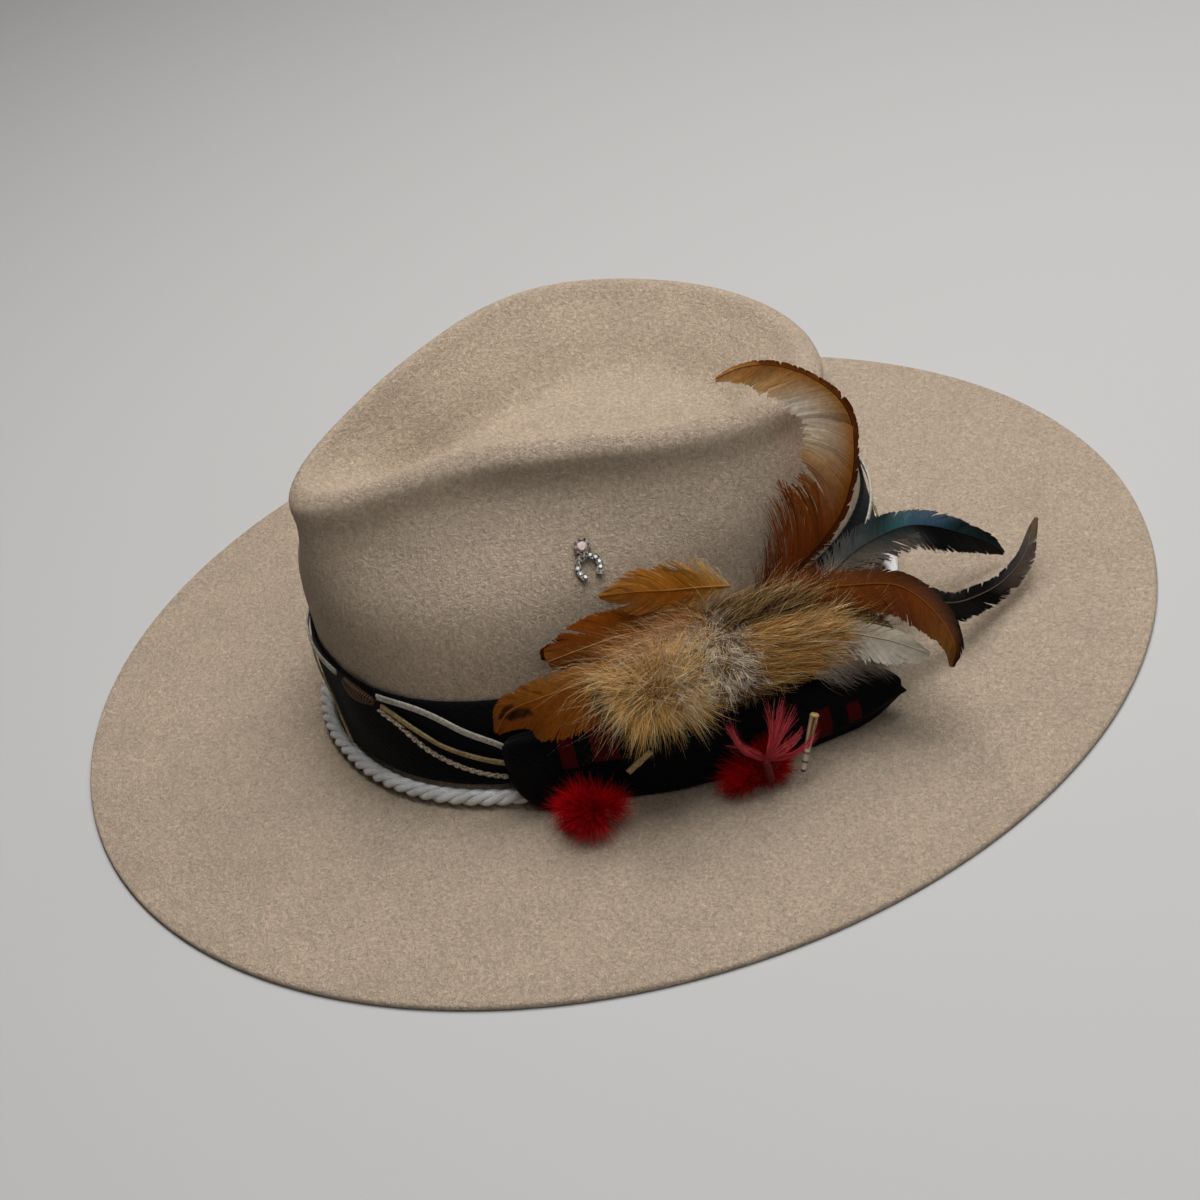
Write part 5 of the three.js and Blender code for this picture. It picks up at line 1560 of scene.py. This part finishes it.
def horn():
    """A feather's bare shaft: smooth pale horn with dark bars, and in its hollow a dull golden brown that is
    partly painted shade.
    """
    material, tree = new_material("striped horn", Roughness=0.4, Specular_IOR_Level=0.5)
    run = add(tree, READ, out="Fac", attribute_name="run")
    inside = add(tree, READ, out="Fac", attribute_name="inside")
    place = add(tree, PLACE, out="Object")
    blot = add(tree, NOISE, {"Vector": place, "Scale": per(1.5), "Detail": 2.0})
    winding = add(tree, MATH, (run, HORN_BARS * TURN), operation="MULTIPLY")
    wave = add(tree, MATH, (winding,), operation="SINE")
    uneven = add(tree, MATH, (blot, 1.2, wave), operation="MULTIPLY_ADD")
    ends = add(tree, RANGE, (run, 0.6, 0.25))
    bars = add(tree, MATH, (add(tree, RANGE, (uneven, 1.0, 1.5)), ends), operation="MULTIPLY")
    pale = add(tree, MIX, {0: run, 6: linear("#d4cabc"), 7: linear("#b0935c")}, **COLOURS)
    barred = add(tree, MIX, {0: bars, 6: pale, 7: linear("#2a2118")}, **COLOURS)
    # Partly painted shade: the recess of the hollow is mottled between dark #3a2a12 and golden brown #8a6a34
    hollow = add(tree, MIX, {0: blot, 6: linear("#3a2a12"), 7: linear("#8a6a34")}, **COLOURS)
    colour = add(tree, MIX, {0: add(tree, RANGE, (inside, 0.2, 0.7)), 6: barred, 7: hollow}, **COLOURS)
    return dressed(material, colour)


# The pin


def make_pin(settings):
    """The pin's solids keep their shape and get their finishes."""
    pewter = dark_pewter()
    crystal = clear_crystal()
    finishes = {"pin_setting": pewter, "pin_post": pewter, "pin_stone": milky_stone()}
    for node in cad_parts:
        if node.startswith("crystal_"):
            finishes[node] = crystal
    for node, material in finishes.items():
        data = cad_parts[node].data
        data.materials.clear()
        data.materials.append(material)


def dark_pewter():
    """Cast pewter, darkened and rubbed: grey, with bright worn spots and dull hollows."""
    material, tree = new_material("darkened pewter", Metallic=1.0, Roughness=0.35)
    place = add(tree, PLACE, out="Object")
    wear = add(tree, NOISE, {"Vector": place, "Scale": per(0.7), "Detail": 3.0})
    worn = add(tree, RANGE, (wear, 0.4, 0.6))
    colour = add(tree, MIX, {0: worn, 6: linear("#3c3934"), 7: linear("#a39d92")}, **COLOURS)
    rough = add(tree, RANGE, (wear, 0.35, 0.65, 0.5, 0.25))
    tree.links.new(rough, tree.nodes[SURFACE].inputs["Roughness"])
    return dressed(material, colour, wear, 0.08, 0.7)


def milky_stone():
    """A milky rose stone: pale, cloudy inside and polished outside."""
    material, tree = new_material(
        "milky rose quartz", Roughness=0.08, Subsurface_Weight=0.4, Subsurface_Radius=(0.004, 0.003, 0.003),
        Coat_Weight=0.6, IOR=1.54,
    )
    place = add(tree, PLACE, out="Object")
    cloud = add(tree, NOISE, {"Vector": place, "Scale": per(1.8), "Detail": 2.0})
    cloudy = add(tree, RANGE, (cloud, 0.35, 0.65))
    colour = add(tree, MIX, {0: cloudy, 6: linear("#c9a8a4"), 7: linear("#e6d2cc")}, **COLOURS)
    return dressed(material, colour)


def clear_crystal():
    """Cut crystal, backed with foil: sharp and bright, so that each facet takes its own reflection."""
    material, tree = new_material(
        "cut crystal", Metallic=0.25, Roughness=0.04, IOR=1.6, Coat_Weight=1.0, Specular_IOR_Level=0.9
    )
    place = add(tree, PLACE, out="Object")
    depth = add(tree, NOISE, {"Vector": place, "Scale": per(0.5), "Detail": 1.0})
    deep = add(tree, RANGE, (depth, 0.4, 0.6))
    colour = add(tree, MIX, {0: deep, 6: linear("#b4b8bc"), 7: linear("#fafcff")}, **COLOURS)
    return dressed(material, colour)


# The stage

# The floor's half width and the point that the lights face, in metres
FLOOR_SIDE = 12.0
AIM = (0, 0, 0.03)
# The strength of the light that comes from all round
ROOM_LIGHT = 0.02
# Each light's azimuth and height in degrees, distance and width in metres, power in watts and colour
LIGHTS = {
    "window light": (250, 66, 1.2, 0.5, 5.6, "#fffaf6"),
    "ceiling light": (130, 79, 1.3, 0.8, 10.0, "#ffffff"),
    "back fill": (180, 56, 1.5, 0.9, 5.0, "#ffffff"),
    "side fill": (95, 42, 1.5, 0.9, 3.2, "#ffffff"),
}


def make_camera():
    """The camera that saw the photograph: its way to the hat, its roll and the hat's place in its picture."""
    azimuth, elevation, roll = (math.radians(CAMERA[k]) for k in ("azimuth", "elevation", "roll"))
    back = way_to(azimuth, elevation)
    level = (-back).cross(Vector((0, 0, 1))).normalized()
    above = level.cross(-back)
    right = level * math.cos(roll) + above * math.sin(roll)
    up = above * math.cos(roll) - level * math.sin(roll)
    pixel = CAMERA["distance"] * CAMERA["sensor"] / (CAMERA["lens"] * IMAGE)
    place = back * CAMERA["distance"] + Vector((0, 0, FELT * MM))
    place -= right * (MIDDLE_PIXEL[0] - IMAGE / 2) * pixel
    place += up * (MIDDLE_PIXEL[1] - IMAGE / 2) * pixel
    data = bpy.data.cameras.new("camera")
    data.lens, data.sensor_width = CAMERA["lens"], CAMERA["sensor"]
    data.clip_start, data.clip_end = 0.01, 100
    camera = in_scene("camera", data)
    turned = Matrix((right, up, back)).transposed().to_4x4()
    turned.translation = place
    camera.matrix_world = turned
    bpy.context.scene.camera = camera


def way_to(azimuth, elevation):
    """The way to a camera or light: azimuth 0 is the hat's front, and a quarter turn its trimmed side."""
    level = math.cos(elevation)
    return Vector((math.sin(azimuth) * level, -math.cos(azimuth) * level, math.sin(elevation)))


def make_light(name, azimuth, elevation, distance, size, power, colour):
    """A round soft light that faces the hat."""
    data = bpy.data.lights.new(name, "AREA")
    data.shape = "DISK"
    data.size, data.energy = size, power
    data.color = linear(colour)[:3]
    light = in_scene(name, data)
    away = way_to(math.radians(azimuth), math.radians(elevation))
    light.location = Vector(AIM) + away * distance
    light.rotation_euler = away.to_track_quat("Z", "Y").to_euler()


def make_stage(settings):
    """The camera at the photograph's angle, a pale plain floor and four soft studio lights."""
    make_camera()
    material, _ = new_material(
        "pale painted floor", Base_Color=linear("#bcbcbb"), Roughness=0.9, Specular_IOR_Level=0.1
    )
    mesh = bpy.data.meshes.new("floor")
    corners = [(x * FLOOR_SIDE, y * FLOOR_SIDE, 0) for x, y in ((-1, -1), (1, -1), (1, 1), (-1, 1))]
    mesh.from_pydata(corners, [], [(0, 1, 2, 3)])
    mesh.materials.append(material)
    in_scene("floor", mesh)
    world = bpy.data.worlds.new("soft room light")
    world.use_nodes = True
    sky = world.node_tree.nodes["Background"].inputs
    sky["Color"].default_value = linear("#e8ecf0")
    sky["Strength"].default_value = ROOM_LIGHT
    bpy.context.scene.world = world
    for name, values in LIGHTS.items():
        make_light(name, *values)
    view = bpy.context.scene.view_settings
    view.view_transform = "Standard"
    view.look = "None"


# The add-on


class HatSettings(bpy.types.PropertyGroup):
    """Sizes and colours that a user would change."""

    felt: FloatVectorProperty(
        name="Felt colour", description="Colour of the wool felt", subtype="COLOR", size=4, min=0, max=1,
        default=linear("#dcc5ab"),
    )
    rope_pitch: FloatProperty(
        name="Rope pitch", description="Length of one full turn of the rope's plies", unit="LENGTH",
        default=0.018, min=0.004,
    )
    fur_strands: IntProperty(
        name="Fur hairs", description="Number of hairs in the fur", default=16500, min=100
    )
    fluff_strands: IntProperty(
        name="Fluff strands", description="Number of strands in each red puff", default=4200, min=100
    )


class HAT_OT_stage(bpy.types.Operator):
    """Adds the floor, the lights and the camera"""

    bl_idname = "hat.stage"
    bl_label = "Stage"

    def execute(self, context):
        make_stage(context.scene.hat_settings)
        return {"FINISHED"}


class HAT_OT_felt(bpy.types.Operator):
    """Builds the felt crown and brim"""

    bl_idname = "hat.felt"
    bl_label = "Felt"

    def execute(self, context):
        make_felt(context.scene.hat_settings)
        return {"FINISHED"}


class HAT_OT_band(bpy.types.Operator):
    """Builds the cloth band, the rope and the laces round the crown"""

    bl_idname = "hat.band"
    bl_label = "Band, rope and laces"

    def execute(self, context):
        settings = context.scene.hat_settings
        make_band(settings)
        make_rope(settings)
        make_laces(settings)
        make_wrap(settings)
        return {"FINISHED"}


class HAT_OT_feathers(bpy.types.Operator):
    """Builds the feathers, each a shaft with its barbs"""

    bl_idname = "hat.feathers"
    bl_label = "Feathers"

    def execute(self, context):
        make_feathers(context.scene.hat_settings)
        return {"FINISHED"}


class HAT_OT_fur(bpy.types.Operator):
    """Grows the fur, the red fluff and the hackle"""

    bl_idname = "hat.fur"
    bl_label = "Fur and fluff"

    def execute(self, context):
        settings = context.scene.hat_settings
        make_fur(settings)
        make_puffs(settings)
        make_hackle(settings)
        return {"FINISHED"}


class HAT_OT_bow(bpy.types.Operator):
    """Builds the cloth bow, the quill and the lace end"""

    bl_idname = "hat.bow"
    bl_label = "Bow and small trims"

    def execute(self, context):
        settings = context.scene.hat_settings
        make_bow(settings)
        make_quill(settings)
        make_lace_end(settings)
        return {"FINISHED"}


class HAT_OT_pin(bpy.types.Operator):
    """Finishes the pin's metal and stones"""

    bl_idname = "hat.pin"
    bl_label = "Pin"

    def execute(self, context):
        make_pin(context.scene.hat_settings)
        return {"FINISHED"}


STEPS = (HAT_OT_stage, HAT_OT_felt, HAT_OT_band, HAT_OT_bow, HAT_OT_feathers, HAT_OT_fur, HAT_OT_pin)


class HAT_PT_panel(bpy.types.Panel):
    """Lists the hat's settings and steps"""

    bl_idname = "HAT_PT_panel"
    bl_label = "Rancher hat"
    bl_space_type = "VIEW_3D"
    bl_region_type = "UI"
    bl_category = "Hat"

    def draw(self, context):
        for name in HatSettings.__annotations__:
            self.layout.prop(context.scene.hat_settings, name)
        for step in STEPS:
            self.layout.operator(step.bl_idname)


CLASSES = (HatSettings, *STEPS, HAT_PT_panel)


def register():
    for item in CLASSES:
        bpy.utils.register_class(item)
    bpy.types.Scene.hat_settings = PointerProperty(type=HatSettings)


def unregister():
    del bpy.types.Scene.hat_settings
    for item in reversed(CLASSES):
        bpy.utils.unregister_class(item)


def main():
    """Builds the stage and the whole hat."""
    register()
    bpy.ops.hat.stage()
    bpy.ops.hat.felt()
    bpy.ops.hat.band()
    bpy.ops.hat.bow()
    bpy.ops.hat.feathers()
    bpy.ops.hat.fur()
    bpy.ops.hat.pin()


if __name__ == "__main__":
    main()
